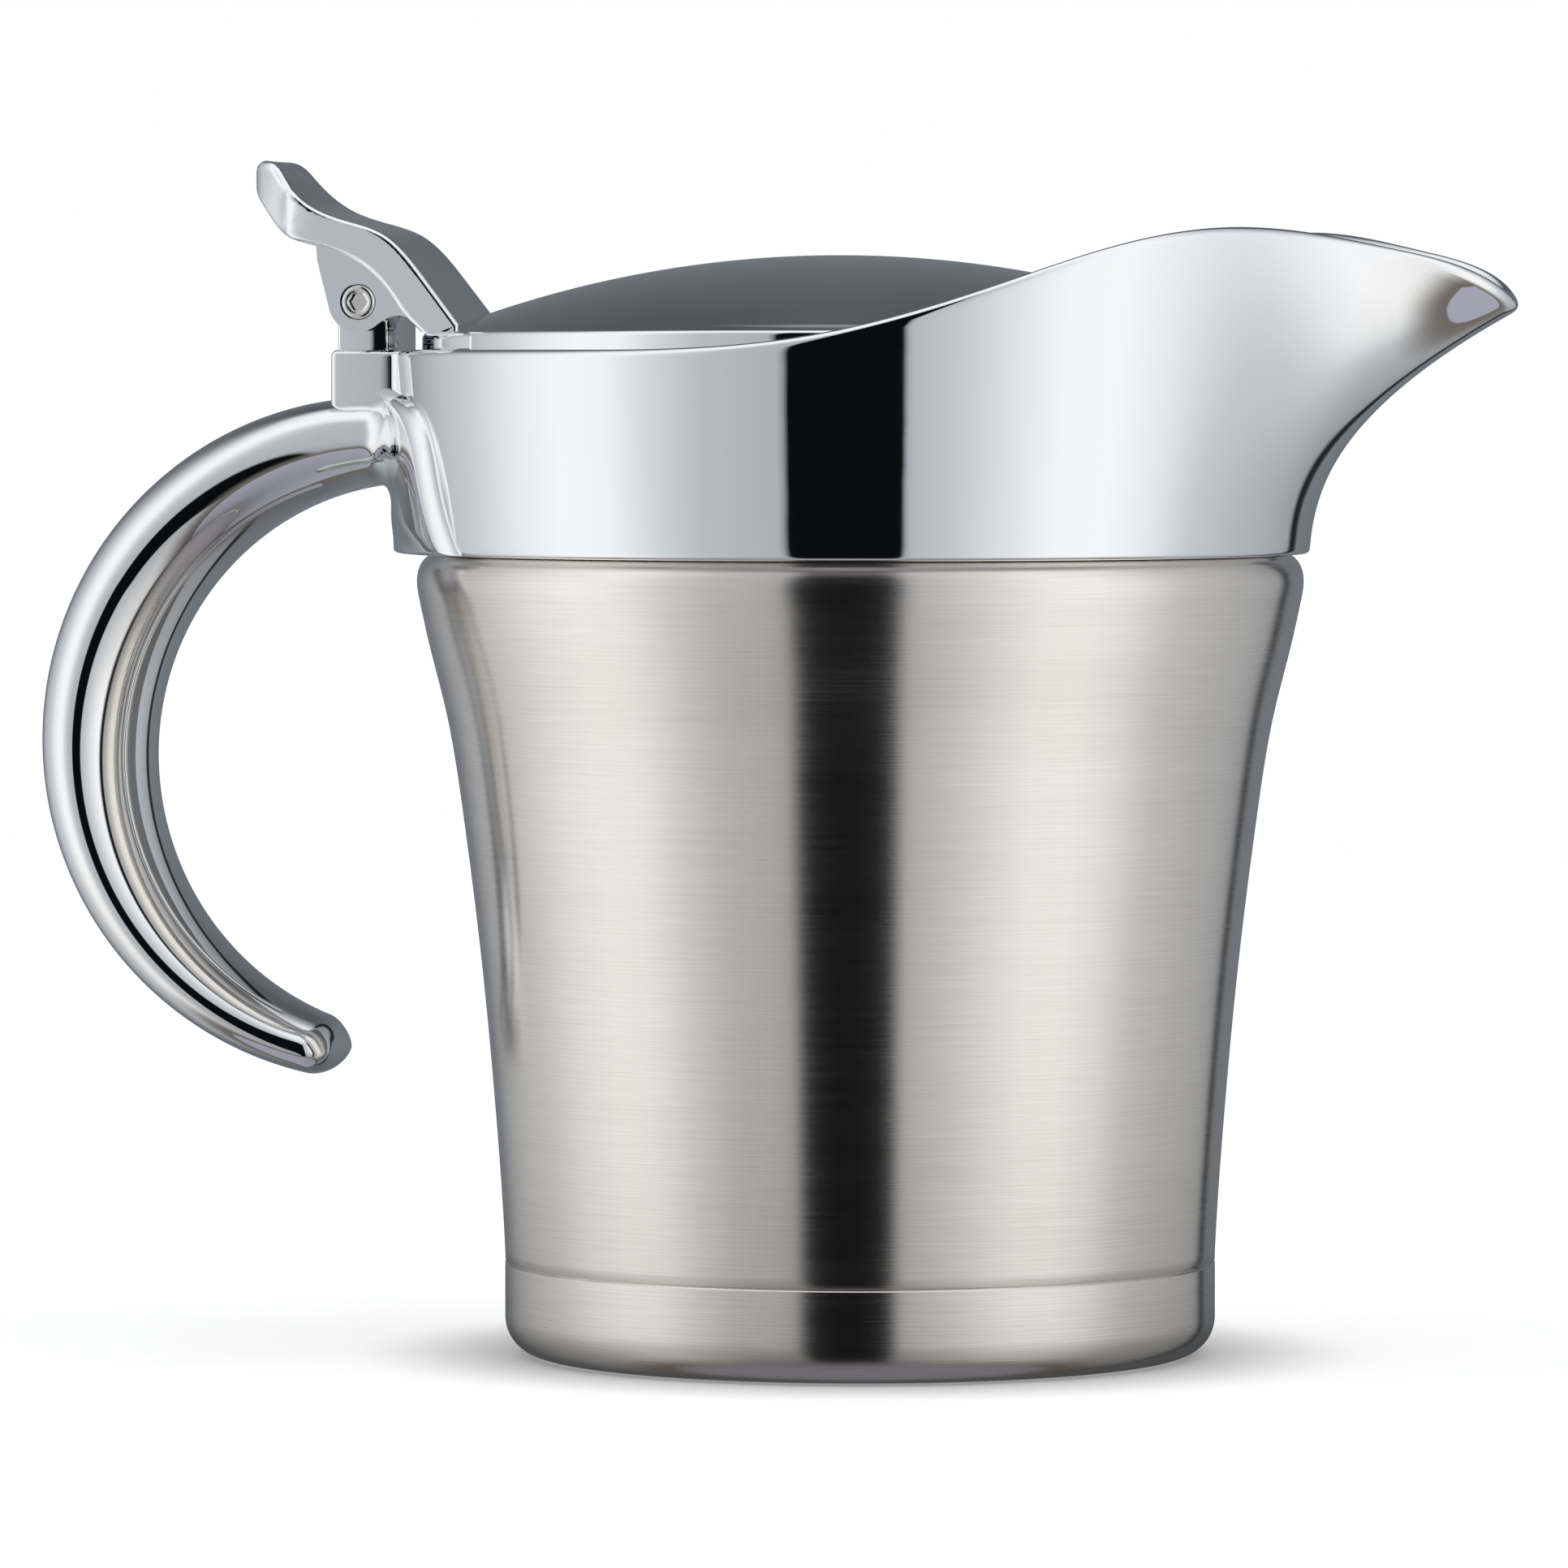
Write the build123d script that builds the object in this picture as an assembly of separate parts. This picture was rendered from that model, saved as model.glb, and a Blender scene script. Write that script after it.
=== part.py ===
from build123d import *
from math import cos, degrees, exp, hypot, pi, radians, sin, sqrt
import os

# Insulated gravy boat: double-walled steel vessel, moulded collar with spout, hook handle and hinged lid.
# Millimetres. Z is up, the spout points to +X, the handle to -X. The origin is the middle of the base.

# Vessel
base_radius = 42.7
base_corner = 4.6
seam_height = 11.3
shell_wall = 0.6
waist_radius = 46.2
waist_height = 54.0
shoulder_radius = 53.2
shoulder_drop = 3.2
shoulder_width = 3.2
shoulder_corner = 2.2
joint_height = 96.3
neck_height = 5.2
liner_wall = 0.6
liner_foot_inset = 4.5
liner_foot_corner = 6.0
liner_floor_height = 6.6
liner_waist_gap = 2.0
liner_knee_drop = 6.0
bottom_disc_height = 2.4
bottom_disc_overlap = 2.2
port_radius = 1.5
port_bead_radius = 3.0
port_bead_height = 1.2
getter_radius = 5.0
getter_thickness = 1.0
getter_offset = 18.0
piece_gap = 0.05

# Collar and spout, with their heights above the joint
collar_overhang = 3.9
collar_back_height = 24.35
collar_lean = 0.069
collar_wall = 2.6
spout_length = 26.4
spout_tip_rise = 29.6
spout_root_rise = 0.7
spout_curl = 2.15
spout_flank_angle = 9.5
spout_nose_angle = 2.5
spout_nose_root_angle = 26.0
spout_floor_drop = 1.3
rim_crest_rise = 38.6
rim_crest_inset = 3.4
rim_tip_inset = 1.2
rim_tip_lift = 0.6
rim_round = 0.6
skirt_round = 0.6
seal_thickness = 0.9
shelf_thickness = 1.8
shelf_inset = 1.4
lid_ledge_drop = 2.75
lid_ledge_thickness = 1.6
lid_ledge_front = 18.0
lid_ledge_gap = 0.7

# Hinge, placed from the collar's back
pin_offset = 5.6
pin_lift = 5.75
pin_radius = 1.6
pin_bore_radius = 0.95
pin_head_radius = 2.15
pin_head_depth = 1.0
pin_running_gap = 0.05
socket_radius = 1.15
socket_depth = 2.2
screw_socket_depth = 0.6
post_half_width = 7.5
post_half_depth = 3.15
pedestal_half_width = 9.5
pedestal_back = 3.6
pedestal_depth = 6.6
pedestal_neck_half_width = 8.0
pedestal_corner = 1.0
pedestal_root_rise = 12.0
washer_thickness = 0.45
washer_gap = 0.1
washer_radius = 3.0
ear_thickness = 2.0
ear_round_radius = 3.6

# Lid
lid_centre = -2.5
lid_inset = 6.1
lid_edge_lift = 2.25
lid_rise = 9.1
lid_wall = 1.8
lid_edge_round = 0.6
seal_gap = 0.3
lid_seal_thickness = 1.2
liner_cup_inset = 2.5
liner_cup_depth = 3.6
liner_cup_wall = 1.6
liner_cup_lip = 0.3
foam_gap = 0.3
foam_thickness = 3.6
lug_half_width = 13.4
lug_overhang = 0.6
lug_length = 6.9
lug_thickness = 3.0
lug_drop = 0.1

# Thumb lever
lever_length = 26.2
lever_tip_half_width = 8.9
lever_waist_half_width = 10.4
lever_foot_half_width = 12.0
lever_edge_round = 0.7
lever_tip_reach = 14.5
lever_pad_length = 5.0
lever_waist_reach = 5.5

# Handle, placed from the collar's back and the joint
handle_offset = 5.0
handle_drop = 22.8
handle_outer_radius = 41.5
grip_shift = 4.7
grip_drop = 2.3
grip_radius = 33.4
handle_half_width = 12.0
handle_root_half_width = 12.8
handle_end_half_width = 8.6
handle_end_round = 3.0
handle_end_angle = 262.0
handle_front_share = 0.6
handle_wall = 2.6
hollow_start_angle = 104.0
hollow_end_angle = 246.0
saddle_centre_x = -10.0
saddle_thickness = 3.0
saddle_half_width = 34.0
saddle_height = 20.1
saddle_arch_half_width = 27.0

# Fasteners
screw_radius = 1.25
screw_head_radius = 2.3
screw_head_height = 1.2
head_gap = 0.1
boss_radius = 3.0
boss_circle = 27.0
liner_screw_count = 3
liner_screw_grip = 7.0
handle_screw_spread = 9.0
handle_screw_height = 2.9
handle_screw_grip = 1.7
lever_screw_radius = 1.0
lever_screw_head_radius = 1.8
lever_screw_spread = 6.0
lever_screw_inset = 2.1
lever_screw_grip = 2.0

# How far cutting shapes run past what they cut
cut_past = 30.0

shell_inner_radius = base_radius - shell_wall
shoulder_flat = shoulder_radius - shoulder_corner
neck_radius = shoulder_radius - shoulder_width
lip_height = joint_height + neck_height
liner_foot_radius = base_radius - liner_foot_inset
liner_neck_radius = neck_radius - shell_wall
liner_mouth_radius = liner_neck_radius - liner_wall
lip_top = lip_height + liner_wall
shelf_height = lip_top + seal_thickness
shelf_top = shelf_height + shelf_thickness
bore_radius = neck_radius + piece_gap
shelf_radius = neck_radius - shelf_inset
collar_radius = neck_radius + collar_overhang
spout_tip_reach = collar_radius + spout_length
spout_tip_height = joint_height + spout_tip_rise
spout_root_height = joint_height + spout_root_rise
rim_back_height = joint_height + collar_back_height
rim_crest_height = joint_height + rim_crest_rise
rim_crest_reach = collar_radius - rim_crest_inset
lid_ledge_height = rim_back_height - lid_ledge_drop
pin_reach = collar_radius + pin_offset
pin_height = rim_back_height + pin_lift
pedestal_reach = pin_reach + pedestal_back
lid_radius = collar_radius - lid_inset
lid_edge_height = rim_back_height + lid_edge_lift
lid_top_height = lid_edge_height + lid_rise
liner_cup_radius = lid_radius - liner_cup_inset
ledge_radius = liner_cup_radius + lid_ledge_gap
seal_bottom = lid_ledge_height + seal_gap
skirt_bottom = seal_bottom + lid_seal_thickness
washer_inner = post_half_width + washer_gap
ear_inner = washer_inner + washer_thickness
ear_outer = ear_inner + ear_thickness
lug_top = lid_edge_height - lug_drop
lug_back = lid_radius - lid_centre + lug_overhang
lug_front = lug_back - lug_length
lever_screw_reach = lug_back - lever_screw_inset
handle_centre_x = -collar_radius - handle_offset
handle_centre_z = joint_height - handle_drop
grip_centre_x = handle_centre_x + grip_shift
grip_centre_z = handle_centre_z - grip_drop
saddle_radius = collar_radius + saddle_centre_x + saddle_thickness
saddle_top_height = joint_height + saddle_height


def cut_bodies(solid, *tools):
    """The solid less each tool, as one part."""
    for tool in tools:
        solid = solid - tool
    return solid


def ring(outer, inner, low, high):
    """A flat ring or tube between two heights about the Z axis."""
    return Pos(0, 0, low) * extrude(Circle(outer) - Circle(inner), high - low)


def disc(radius, low, high, x=0.0, y=0.0):
    """A round disc or rod between two heights."""
    return Pos(x, y, low) * extrude(Circle(radius), high - low)


def block(low, high):
    """A block between two corners."""
    size = [b - a for a, b in zip(low, high)]
    return Pos(*low) * Box(*size, align=(Align.MIN, Align.MIN, Align.MIN))


def revolved(outline):
    """A turned solid from a closed outline of radius and height."""
    face = make_face(outline)
    return revolve(Plane.XZ * face, Axis.Z)


def rod_along_y(radius, low, high, x, z):
    """A round rod along Y between two places."""
    return Plane((x, low, z), x_dir=(1, 0, 0), z_dir=(0, 1, 0)) * extrude(Circle(radius), high - low)


# Vessel of steel

def wall_line(inset):
    """The flared side of the outer wall from the seam up to the shoulder, moved in by a wall."""
    start = (base_radius - inset, seam_height)
    middle = (waist_radius - inset, waist_height)
    top = (shoulder_radius - 0.12 - inset, joint_height - shoulder_drop - 0.8)
    return Spline(start, middle, top, tangents=((0.035, 1), (0.24, 1)))


def shoulder_line(inset):
    """The rounded shoulder that turns in to the flat under the collar."""
    side = wall_line(inset) @ 1
    outermost = (shoulder_radius - inset, joint_height - shoulder_drop)
    flat = (shoulder_flat, joint_height - inset)
    return Spline(side, outermost, flat, tangents=((0.24, 1), (-1, 0)))


def outer_shell():
    inner_neck = neck_radius - shell_wall
    outer = wall_line(0)
    turn = shoulder_line(0)
    flat = Line(turn @ 1, (neck_radius, joint_height))
    neck = Line(flat @ 1, (neck_radius, lip_height))
    top = Line(neck @ 1, (inner_neck, lip_height))
    inner_neck_line = Line(top @ 1, (inner_neck, joint_height - shell_wall))
    inner_turn = shoulder_line(shell_wall)
    inner_flat = Line(inner_neck_line @ 1, inner_turn @ 1)
    inner = wall_line(shell_wall)
    foot = Line(inner @ 0, outer @ 0)
    lines = [outer, turn, flat, neck, top, inner_neck_line, inner_flat, inner_turn, inner, foot]
    return revolved(lines)


def base_cup():
    flat_radius = base_radius - base_corner
    inner_corner = base_corner - shell_wall
    inner_radius = base_radius - shell_wall
    side = Line((base_radius, seam_height), (base_radius, base_corner))
    corner = RadiusArc(side @ 1, (flat_radius, 0), base_corner)
    floor = Line(corner @ 1, (0, 0))
    middle = Line(floor @ 1, (0, shell_wall))
    inside = Line(middle @ 1, (flat_radius, shell_wall))
    inner_turn = RadiusArc(inside @ 1, (inner_radius, base_corner), -inner_corner)
    inner_side = Line(inner_turn @ 1, (inner_radius, seam_height))
    rim = Line(inner_side @ 1, side @ 0)
    return revolved([side, corner, floor, middle, inside, inner_turn, inner_side, rim])


def vacuum_bottom():
    outer = shell_inner_radius - piece_gap
    low = bottom_disc_height
    corner = base_corner - shell_wall
    high = seam_height + bottom_disc_overlap
    cup = disc(outer, low, high)
    cup = fillet(cup.edges().group_by(Axis.Z)[0], corner)
    hollow = disc(outer - shell_wall, low + shell_wall, high + 1)
    hollow = fillet(hollow.edges().group_by(Axis.Z)[0], corner - shell_wall)
    port = disc(port_radius, low - 1, low + shell_wall + 1)
    return cut_bodies(cup, hollow, port)


def port_seal():
    top = bottom_disc_height
    bead = disc(port_bead_radius, top - port_bead_height, top)
    plug = disc(port_radius - piece_gap, top, top + shell_wall)
    return bead + plug


def liner_side(offset):
    """The tapered side of the liner between its floor and its neck."""
    foot = (liner_foot_radius - offset, liner_floor_height + liner_foot_corner)
    waist = (waist_radius - liner_waist_gap - offset, waist_height)
    knee = (liner_neck_radius - offset, joint_height - liner_knee_drop)
    return Polyline(foot, waist, knee)


def inner_vessel():
    outer_floor = liner_floor_height
    inner_floor = liner_floor_height + liner_wall
    corner = liner_foot_corner
    foot = liner_foot_radius
    outer = liner_side(0)
    neck = Line(outer @ 1, (liner_neck_radius, lip_height))
    lip_under = Line(neck @ 1, (neck_radius, lip_height))
    lip_edge = Line(lip_under @ 1, (neck_radius, lip_top))
    lip = Line(lip_edge @ 1, (liner_mouth_radius, lip_top))
    inner = liner_side(liner_wall)
    inner_neck = Line(lip @ 1, inner @ 1)
    inner_turn = RadiusArc(inner @ 0, (foot - corner, inner_floor), corner - liner_wall)
    inner_flat = Line(inner_turn @ 1, (0, inner_floor))
    middle = Line(inner_flat @ 1, (0, outer_floor))
    flat = Line(middle @ 1, (foot - corner, outer_floor))
    turn = RadiusArc(flat @ 1, outer @ 0, -corner)
    lines = [outer, neck, lip_under, lip_edge, lip, inner_neck, inner, inner_turn]
    return revolved(lines + [inner_flat, middle, flat, turn])


def getter():
    top = liner_floor_height
    return disc(getter_radius, top - getter_thickness, top, x=getter_offset)


# Collar and spout

def ring_radius(height):
    """Radius of the collar's round wall at a height."""
    return collar_radius + collar_lean * (height - joint_height)


def spout_share(height):
    """How far up the spout a height is, 0 at its root and 1 at its tip."""
    return max(height - spout_root_height, 0) / (spout_tip_height - spout_root_height)


def spout_bulge(angle, height):
    """How far the spout stands out of the round wall at an angle from the spout."""
    share = spout_share(height)
    reach = spout_tip_reach - ring_radius(spout_tip_height)
    nose = spout_nose_angle + (spout_nose_root_angle - spout_nose_angle) * max(1 - share, 0) ** 2
    away = hypot(angle, nose) - nose
    return reach * share ** spout_curl * exp(-away / spout_flank_angle)


def collar_section(height, inside):
    """One level outline of the collar, outside or inside."""
    half_count = 14
    half = [180 * (i / half_count) ** 1.8 for i in range(half_count + 1)]
    angles = half + [-a for a in reversed(half[1:-1])]
    points = []
    for angle in angles:
        radius = ring_radius(height) + spout_bulge(angle, height)
        if inside:
            level = height - spout_floor_drop
            radius = ring_radius(height) - collar_wall + spout_bulge(angle, level)
        points.append((radius * cos(radians(angle)), radius * sin(radians(angle))))
    return Pos(0, 0, height) * make_face(Spline(*points, periodic=True))


def collar_loft(low, inside=False):
    """The collar's outer or inner form as a solid, from a height up to above the rim."""
    top = rim_crest_height + 3
    count = 9
    heights = [low + (top - low) * i / count for i in range(count + 1)]
    return loft([collar_section(height, inside) for height in heights])


def above_rim():
    """Everything above the swept rim line, seen from the side."""
    far = spout_tip_reach + cut_past
    rise_of_rim = rim_crest_height - rim_back_height
    back = (-far, rim_back_height)
    flat = (-0.436 * rim_crest_reach, rim_back_height)
    low_rise = (0.111 * rim_crest_reach, rim_back_height + 0.133 * rise_of_rim)
    high_rise = (0.515 * rim_crest_reach, rim_back_height + 0.547 * rise_of_rim)
    crest = (rim_crest_reach, rim_crest_height)
    tip = (spout_tip_reach - rim_tip_inset, spout_tip_height + rim_tip_lift)
    shoulder = (crest[0] + 0.549 * (tip[0] - crest[0]), crest[1] + 0.286 * (tip[1] - crest[1]))
    level = Line(back, flat)
    rise = Spline(flat, low_rise, high_rise, crest, tangents=((1, 0), (1, 0)))
    fall = Spline(crest, shoulder, tip, tangents=((1, 0), (0.75, -1)))
    end = Line(fall @ 1, (far, tip[1] - cut_past))
    side = Line(end @ 1, (far, rim_crest_height + cut_past))
    over = Line(side @ 1, (-far, rim_crest_height + cut_past))
    down = Line(over @ 1, back)
    face = make_face([level, rise, fall, end, side, over, down])
    return extrude(Plane.XZ * face, far, both=True)


def lid_ledge():
    """Narrow ledge inside the collar that the lid's seal closes onto."""
    low = lid_ledge_height - lid_ledge_thickness
    plate = disc(ring_radius(low) - collar_wall / 2, low, lid_ledge_height)
    hole = disc(ledge_radius, low - 1, lid_ledge_height + 1, x=lid_centre)
    far = collar_radius + cut_past
    front = block((lid_ledge_front, -far, low - 1), (far, far, lid_ledge_height + 1))
    return cut_bodies(plate, hole, front)


def pedestal():
    """Block behind the collar under the hinge post, with its narrower neck."""
    low = joint_height + pedestal_root_rise
    high = rim_back_height
    front = -pedestal_reach + pedestal_depth
    body = block((-pedestal_reach, -pedestal_half_width, low), (front, pedestal_half_width, high))
    body = fillet(body.edges().filter_by(Axis.Z).group_by(Axis.X)[0], pedestal_corner)
    wall = -ring_radius(high) + collar_wall / 2
    neck = block((front, -pedestal_neck_half_width, low), (wall, pedestal_neck_half_width, high))
    return body + neck


def hinge_post():
    """Post that carries the pin, rounded over its bore."""
    low = rim_back_height - 1
    sides = block((-pin_reach - post_half_depth, -post_half_width, low),
                  (-pin_reach + post_half_depth, post_half_width, pin_height))
    crown = rod_along_y(post_half_depth, -post_half_width, post_half_width, -pin_reach, pin_height)
    end = post_half_width + cut_past
    bore = rod_along_y(pin_radius + pin_running_gap, -end, end, -pin_reach, pin_height)
    return sides + crown - bore


def handle_screw_places():
    """Places of the two screws through the skirt, left and right of the middle."""
    return [(side * handle_screw_spread, joint_height + handle_screw_height) for side in (-1, 1)]


def rod_along_x(radius, low, high, y, z):
    """A round rod along X between two places."""
    return Plane((low, y, z), x_dir=(0, 1, 0), z_dir=(1, 0, 0)) * extrude(Circle(radius), high - low)


def rim_edges(collar):
    """Edges along the swept rim, inside and outside."""
    low = shelf_top + 3
    high = rim_back_height - 0.1
    boxes = [(edge, edge.bounding_box()) for edge in collar.edges()]
    return [edge for edge, box in boxes if box.min.Z > low and box.max.Z > high]


def skirt_edges(collar):
    """The outer edge of the skirt where it meets the vessel's shoulder."""
    boxes = [(edge, edge.bounding_box()) for edge in collar.edges()]
    return [edge for edge, box in boxes if box.max.Z < joint_height + 0.01 and box.max.Y > bore_radius + 1]


def handle_screw_seat(y):
    """Where a skirt screw's head bears, deep enough for all of it to clear the neck."""
    nearest = abs(y) - screw_head_radius
    return -sqrt(bore_radius ** 2 - nearest ** 2) - screw_head_height - head_gap


def spout_collar(*handle_forms):
    outer = collar_loft(joint_height)
    inner = collar_loft(shelf_top, inside=True)
    bore = disc(bore_radius, joint_height - 1, shelf_height)
    throat = disc(shelf_radius, shelf_height - 1, shelf_top + 1)
    collar = cut_bodies(outer, inner, bore, throat, above_rim())
    collar = fillet(rim_edges(collar), rim_round)
    collar = fillet(skirt_edges(collar), skirt_round)
    collar = collar + lid_ledge()
    collar = collar + cut_bodies(pedestal(), *handle_forms) + hinge_post()
    for y, z in handle_screw_places():
        seat = handle_screw_seat(y)
        head = rod_along_x(screw_head_radius + head_gap, seat, seat + 6, y, z)
        hole = rod_along_x(screw_radius + head_gap, seat - 6, seat + 1, y, z)
        collar = cut_bodies(collar, head, hole)
    return collar


def collar_seal():
    return ring(neck_radius, liner_mouth_radius, lip_top, shelf_height)


# Handle

def grip_distance(angle):
    """Distance of the grip's inner side from the handle's centre at an angle."""
    dx = grip_centre_x - handle_centre_x
    dz = grip_centre_z - handle_centre_z
    along = dx * cos(radians(angle)) + dz * sin(radians(angle))
    return along + sqrt(along ** 2 - dx ** 2 - dz ** 2 + grip_radius ** 2)


def handle_width(angle):
    """Half of the handle's width: widest at the root, slimmer towards the free end."""
    share = (angle - 90) / (handle_end_angle - 90)
    if share < 0:
        return handle_root_half_width
    full = handle_root_half_width - (handle_root_half_width - handle_half_width) * min(share * 3, 1)
    if share > 0.55:
        full = full - (handle_half_width - handle_end_half_width) * ((share - 0.55) / 0.45) ** 2
    return full


def handle_section(angle, inset=0.0):
    """Closed section of the handle at an angle: broad outer face, rounded sides, narrower inner face."""
    thick = handle_outer_radius - grip_distance(angle) - 2 * inset
    width = handle_width(angle) - inset
    half = [(0, 0), (0.3, 0.006), (0.6, 0.032), (0.88, 0.13), (1, 0.31), (0.88, 0.58), (0.62, 0.86),
            (0.36, 0.975), (0, 1)]
    right = [(width * side, thick * inward) for side, inward in half]
    left = [(-side, inward) for side, inward in reversed(right[1:-1])]
    across = cos(radians(angle))
    up = sin(radians(angle))
    reach = handle_outer_radius - inset
    spot = (handle_centre_x + reach * across, 0, handle_centre_z + reach * up)
    plane = Plane(spot, x_dir=(0, 1, 0), z_dir=(-up, 0, across))
    return plane * make_face(Spline(*right, *left, periodic=True))


def handle_sections(start, end, count, inset=0.0):
    return [handle_section(start + (end - start) * i / count, inset) for i in range(count + 1)]


def handle_end():
    """Rounded free end: sections that shrink along a quarter circle."""
    turn = degrees(handle_end_round / handle_outer_radius)
    sections = []
    for share in (0, 0.35, 0.65, 0.87, 1):
        inset = handle_end_round * (1 - sqrt(1 - share ** 2))
        sections.append(handle_section(handle_end_angle - turn * (1 - share), inset))
    return loft(sections)


def handle_form():
    """The whole handle as one form: the hook, its rounded end, and its root running into the collar."""
    turn = degrees(handle_end_round / handle_outer_radius)
    hook = loft(handle_sections(90, handle_end_angle - turn, 11))
    run = -handle_centre_x - ring_radius(joint_height) + 6
    return hook + handle_end() + extrude(handle_section(90), -run)


def cover_side():
    """Everything on the inner cover's side of the parting face, which runs level into the collar."""
    share = handle_front_share
    x = handle_centre_x + share * grip_shift
    z = handle_centre_z - share * grip_drop
    radius = handle_outer_radius - share * (handle_outer_radius - grip_radius)
    side = handle_root_half_width + cut_past
    level = block((x, -side, z), (0, side, z + radius))
    return rod_along_y(radius, -side, side, x, z) + level


def handle_hollow():
    """Hollow of the handle's outer piece, open towards the inner cover."""
    return loft(handle_sections(hollow_start_angle, hollow_end_angle, 7, handle_wall))


def saddle_form():
    """Arched plate that follows the collar's back, thickest in the middle."""
    low = joint_height
    high = saddle_top_height
    lean = collar_lean * (high - low)
    outer = loft([Pos(saddle_centre_x, 0, low) * Circle(saddle_radius),
                  Pos(saddle_centre_x, 0, high) * Circle(saddle_radius + lean)])
    side = saddle_half_width
    arch = saddle_arch_half_width
    foot = Line((-side, low), (side, low))
    right = Spline((side, low), (arch + 2.6, low + 12), (arch - 2, high - 3), (0, high),
                   tangents=((-0.3, 1), (-1, 0)))
    left = Spline((0, high), (-arch + 2, high - 3), (-arch - 2.6, low + 12), (-side, low),
                  tangents=((-1, 0), (-0.3, -1)))
    outline = make_face([foot, right, left])
    depth = collar_radius + cut_past
    shield = Plane((0, 0, 0), x_dir=(0, 1, 0), z_dir=(1, 0, 0)) * extrude(outline, -depth)
    return outer & shield


def collar_core():
    """The round wall's full form, which the handle seats against."""
    low = joint_height - 5
    high = rim_back_height + 5
    return loft([Pos(0, 0, low) * Circle(ring_radius(low)), Pos(0, 0, high) * Circle(ring_radius(high))])


def handle_shell(whole, cover):
    shell = cut_bodies(whole, cover_side(), handle_hollow())
    shell = cut_bodies(shell + saddle_form(), collar_core(), cover)
    for y, z in handle_screw_places():
        seat = -sqrt(collar_radius ** 2 - y ** 2)
        hole = rod_along_x(screw_radius, seat - handle_screw_grip, seat + 5, y, z)
        shell = shell - hole
    return shell


def handle_cover(whole):
    return (whole & cover_side()) - collar_core()


def handle_screws():
    screws = []
    for y, z in handle_screw_places():
        seat = handle_screw_seat(y)
        tip = -sqrt(collar_radius ** 2 - y ** 2) - handle_screw_grip
        head = rod_along_x(screw_head_radius, seat, seat + screw_head_height, y, z)
        shank = rod_along_x(screw_radius, tip, seat, y, z)
        screws.append(head + shank)
    return screws


# Lid

def dome_cap(radius, edge_height, top_height):
    """A shallow domed cap over a flat underside, about the lid's own axis."""
    rise = top_height - edge_height
    sphere_radius = (radius ** 2 + rise ** 2) / (2 * rise)
    arc = RadiusArc((0, top_height), (radius, edge_height), sphere_radius)
    down = Line(arc @ 1, (0, edge_height))
    middle = Line(down @ 1, (0, top_height))
    return Pos(lid_centre, 0, 0) * revolved([arc, down, middle])


def liner_screw_places():
    """Places of the liner's screws round the lid's own axis, one of them at the front."""
    step = 2 * pi / liner_screw_count
    return [(lid_centre + boss_circle * cos(i * step), boss_circle * sin(i * step))
            for i in range(liner_screw_count)]


def lever_screw_places():
    return [(-lever_screw_reach, side * lever_screw_spread) for side in (-1, 1)]


def lid_dome():
    skirt = disc(lid_radius, skirt_bottom, lid_edge_height, x=lid_centre)
    solid = skirt + dome_cap(lid_radius, lid_edge_height, lid_top_height)
    rim = solid.edges().filter_by(GeomType.CIRCLE).filter_by(
        lambda edge: abs(edge.center().Z - lid_edge_height) < 0.01)
    solid = fillet(rim, lid_edge_round)
    lug = block((-lug_back, -lug_half_width, lug_top - lug_thickness),
                (-lug_front, lug_half_width, lug_top))
    lug = fillet(lug.edges().filter_by(Axis.Z), 1.2)
    lug = fillet(lug.edges().group_by(Axis.Z)[-1], 0.8)
    solid = solid + lug
    inner_radius = lid_radius - lid_wall
    hollow = disc(inner_radius, skirt_bottom - 1, lid_edge_height - lid_wall, x=lid_centre)
    hollow = hollow + dome_cap(inner_radius, lid_edge_height - lid_wall, lid_top_height - lid_wall)
    keep = block((-lug_back, -lug_half_width, lug_top - lug_thickness),
                 (-lug_front, lug_half_width, lug_top))
    solid = solid - (hollow - keep)
    roof = dome_cap(lid_radius - 0.4, lid_edge_height - 0.4, lid_top_height - 0.4)
    for x, y in liner_screw_places():
        post = disc(boss_radius, skirt_bottom, lid_top_height, x, y) & (roof + skirt)
        solid = solid + post
        solid = solid - disc(screw_radius, skirt_bottom - 1, liner_plate_low() + liner_screw_grip, x, y)
    for x, y in lever_screw_places():
        low = lug_top - lug_thickness
        head_top = low + screw_head_height
        solid = solid - disc(lever_screw_head_radius + head_gap, low - 1, head_top, x, y)
        solid = solid - disc(lever_screw_radius + head_gap, low, lid_top_height, x, y)
    return solid


def liner_plate_low():
    """Underside of the liner's flat plate."""
    return skirt_bottom - liner_cup_depth


def lid_liner():
    low = liner_plate_low()
    cup = disc(liner_cup_radius, low, skirt_bottom + liner_cup_lip, x=lid_centre)
    cup = fillet(cup.edges().group_by(Axis.Z)[0], 1.2)
    hollow = disc(liner_cup_radius - liner_cup_wall, low + liner_cup_wall, lid_top_height, x=lid_centre)
    cup = cup - hollow
    for x, y in liner_screw_places():
        cup = cup + disc(boss_radius, low, skirt_bottom, x, y)
        cup = cup - disc(screw_radius + head_gap, low - 1, lid_top_height, x, y)
    for x, y in lever_screw_places():
        cup = cup - disc(lever_screw_head_radius + head_gap, skirt_bottom, lid_top_height, x, y)
    return cup


def lid_liner_screws():
    low = liner_plate_low()
    screws = []
    for x, y in liner_screw_places():
        head = disc(screw_head_radius, low - screw_head_height, low, x, y)
        head = fillet(head.edges().group_by(Axis.Z)[0], 0.5)
        slot = block((x - 1.5, y - 0.3, low - screw_head_height - 1), (x + 1.5, y + 0.3, low - 0.6))
        shank = disc(screw_radius, low, low + liner_screw_grip, x, y)
        screws.append(head - slot + shank)
    return screws


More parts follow.
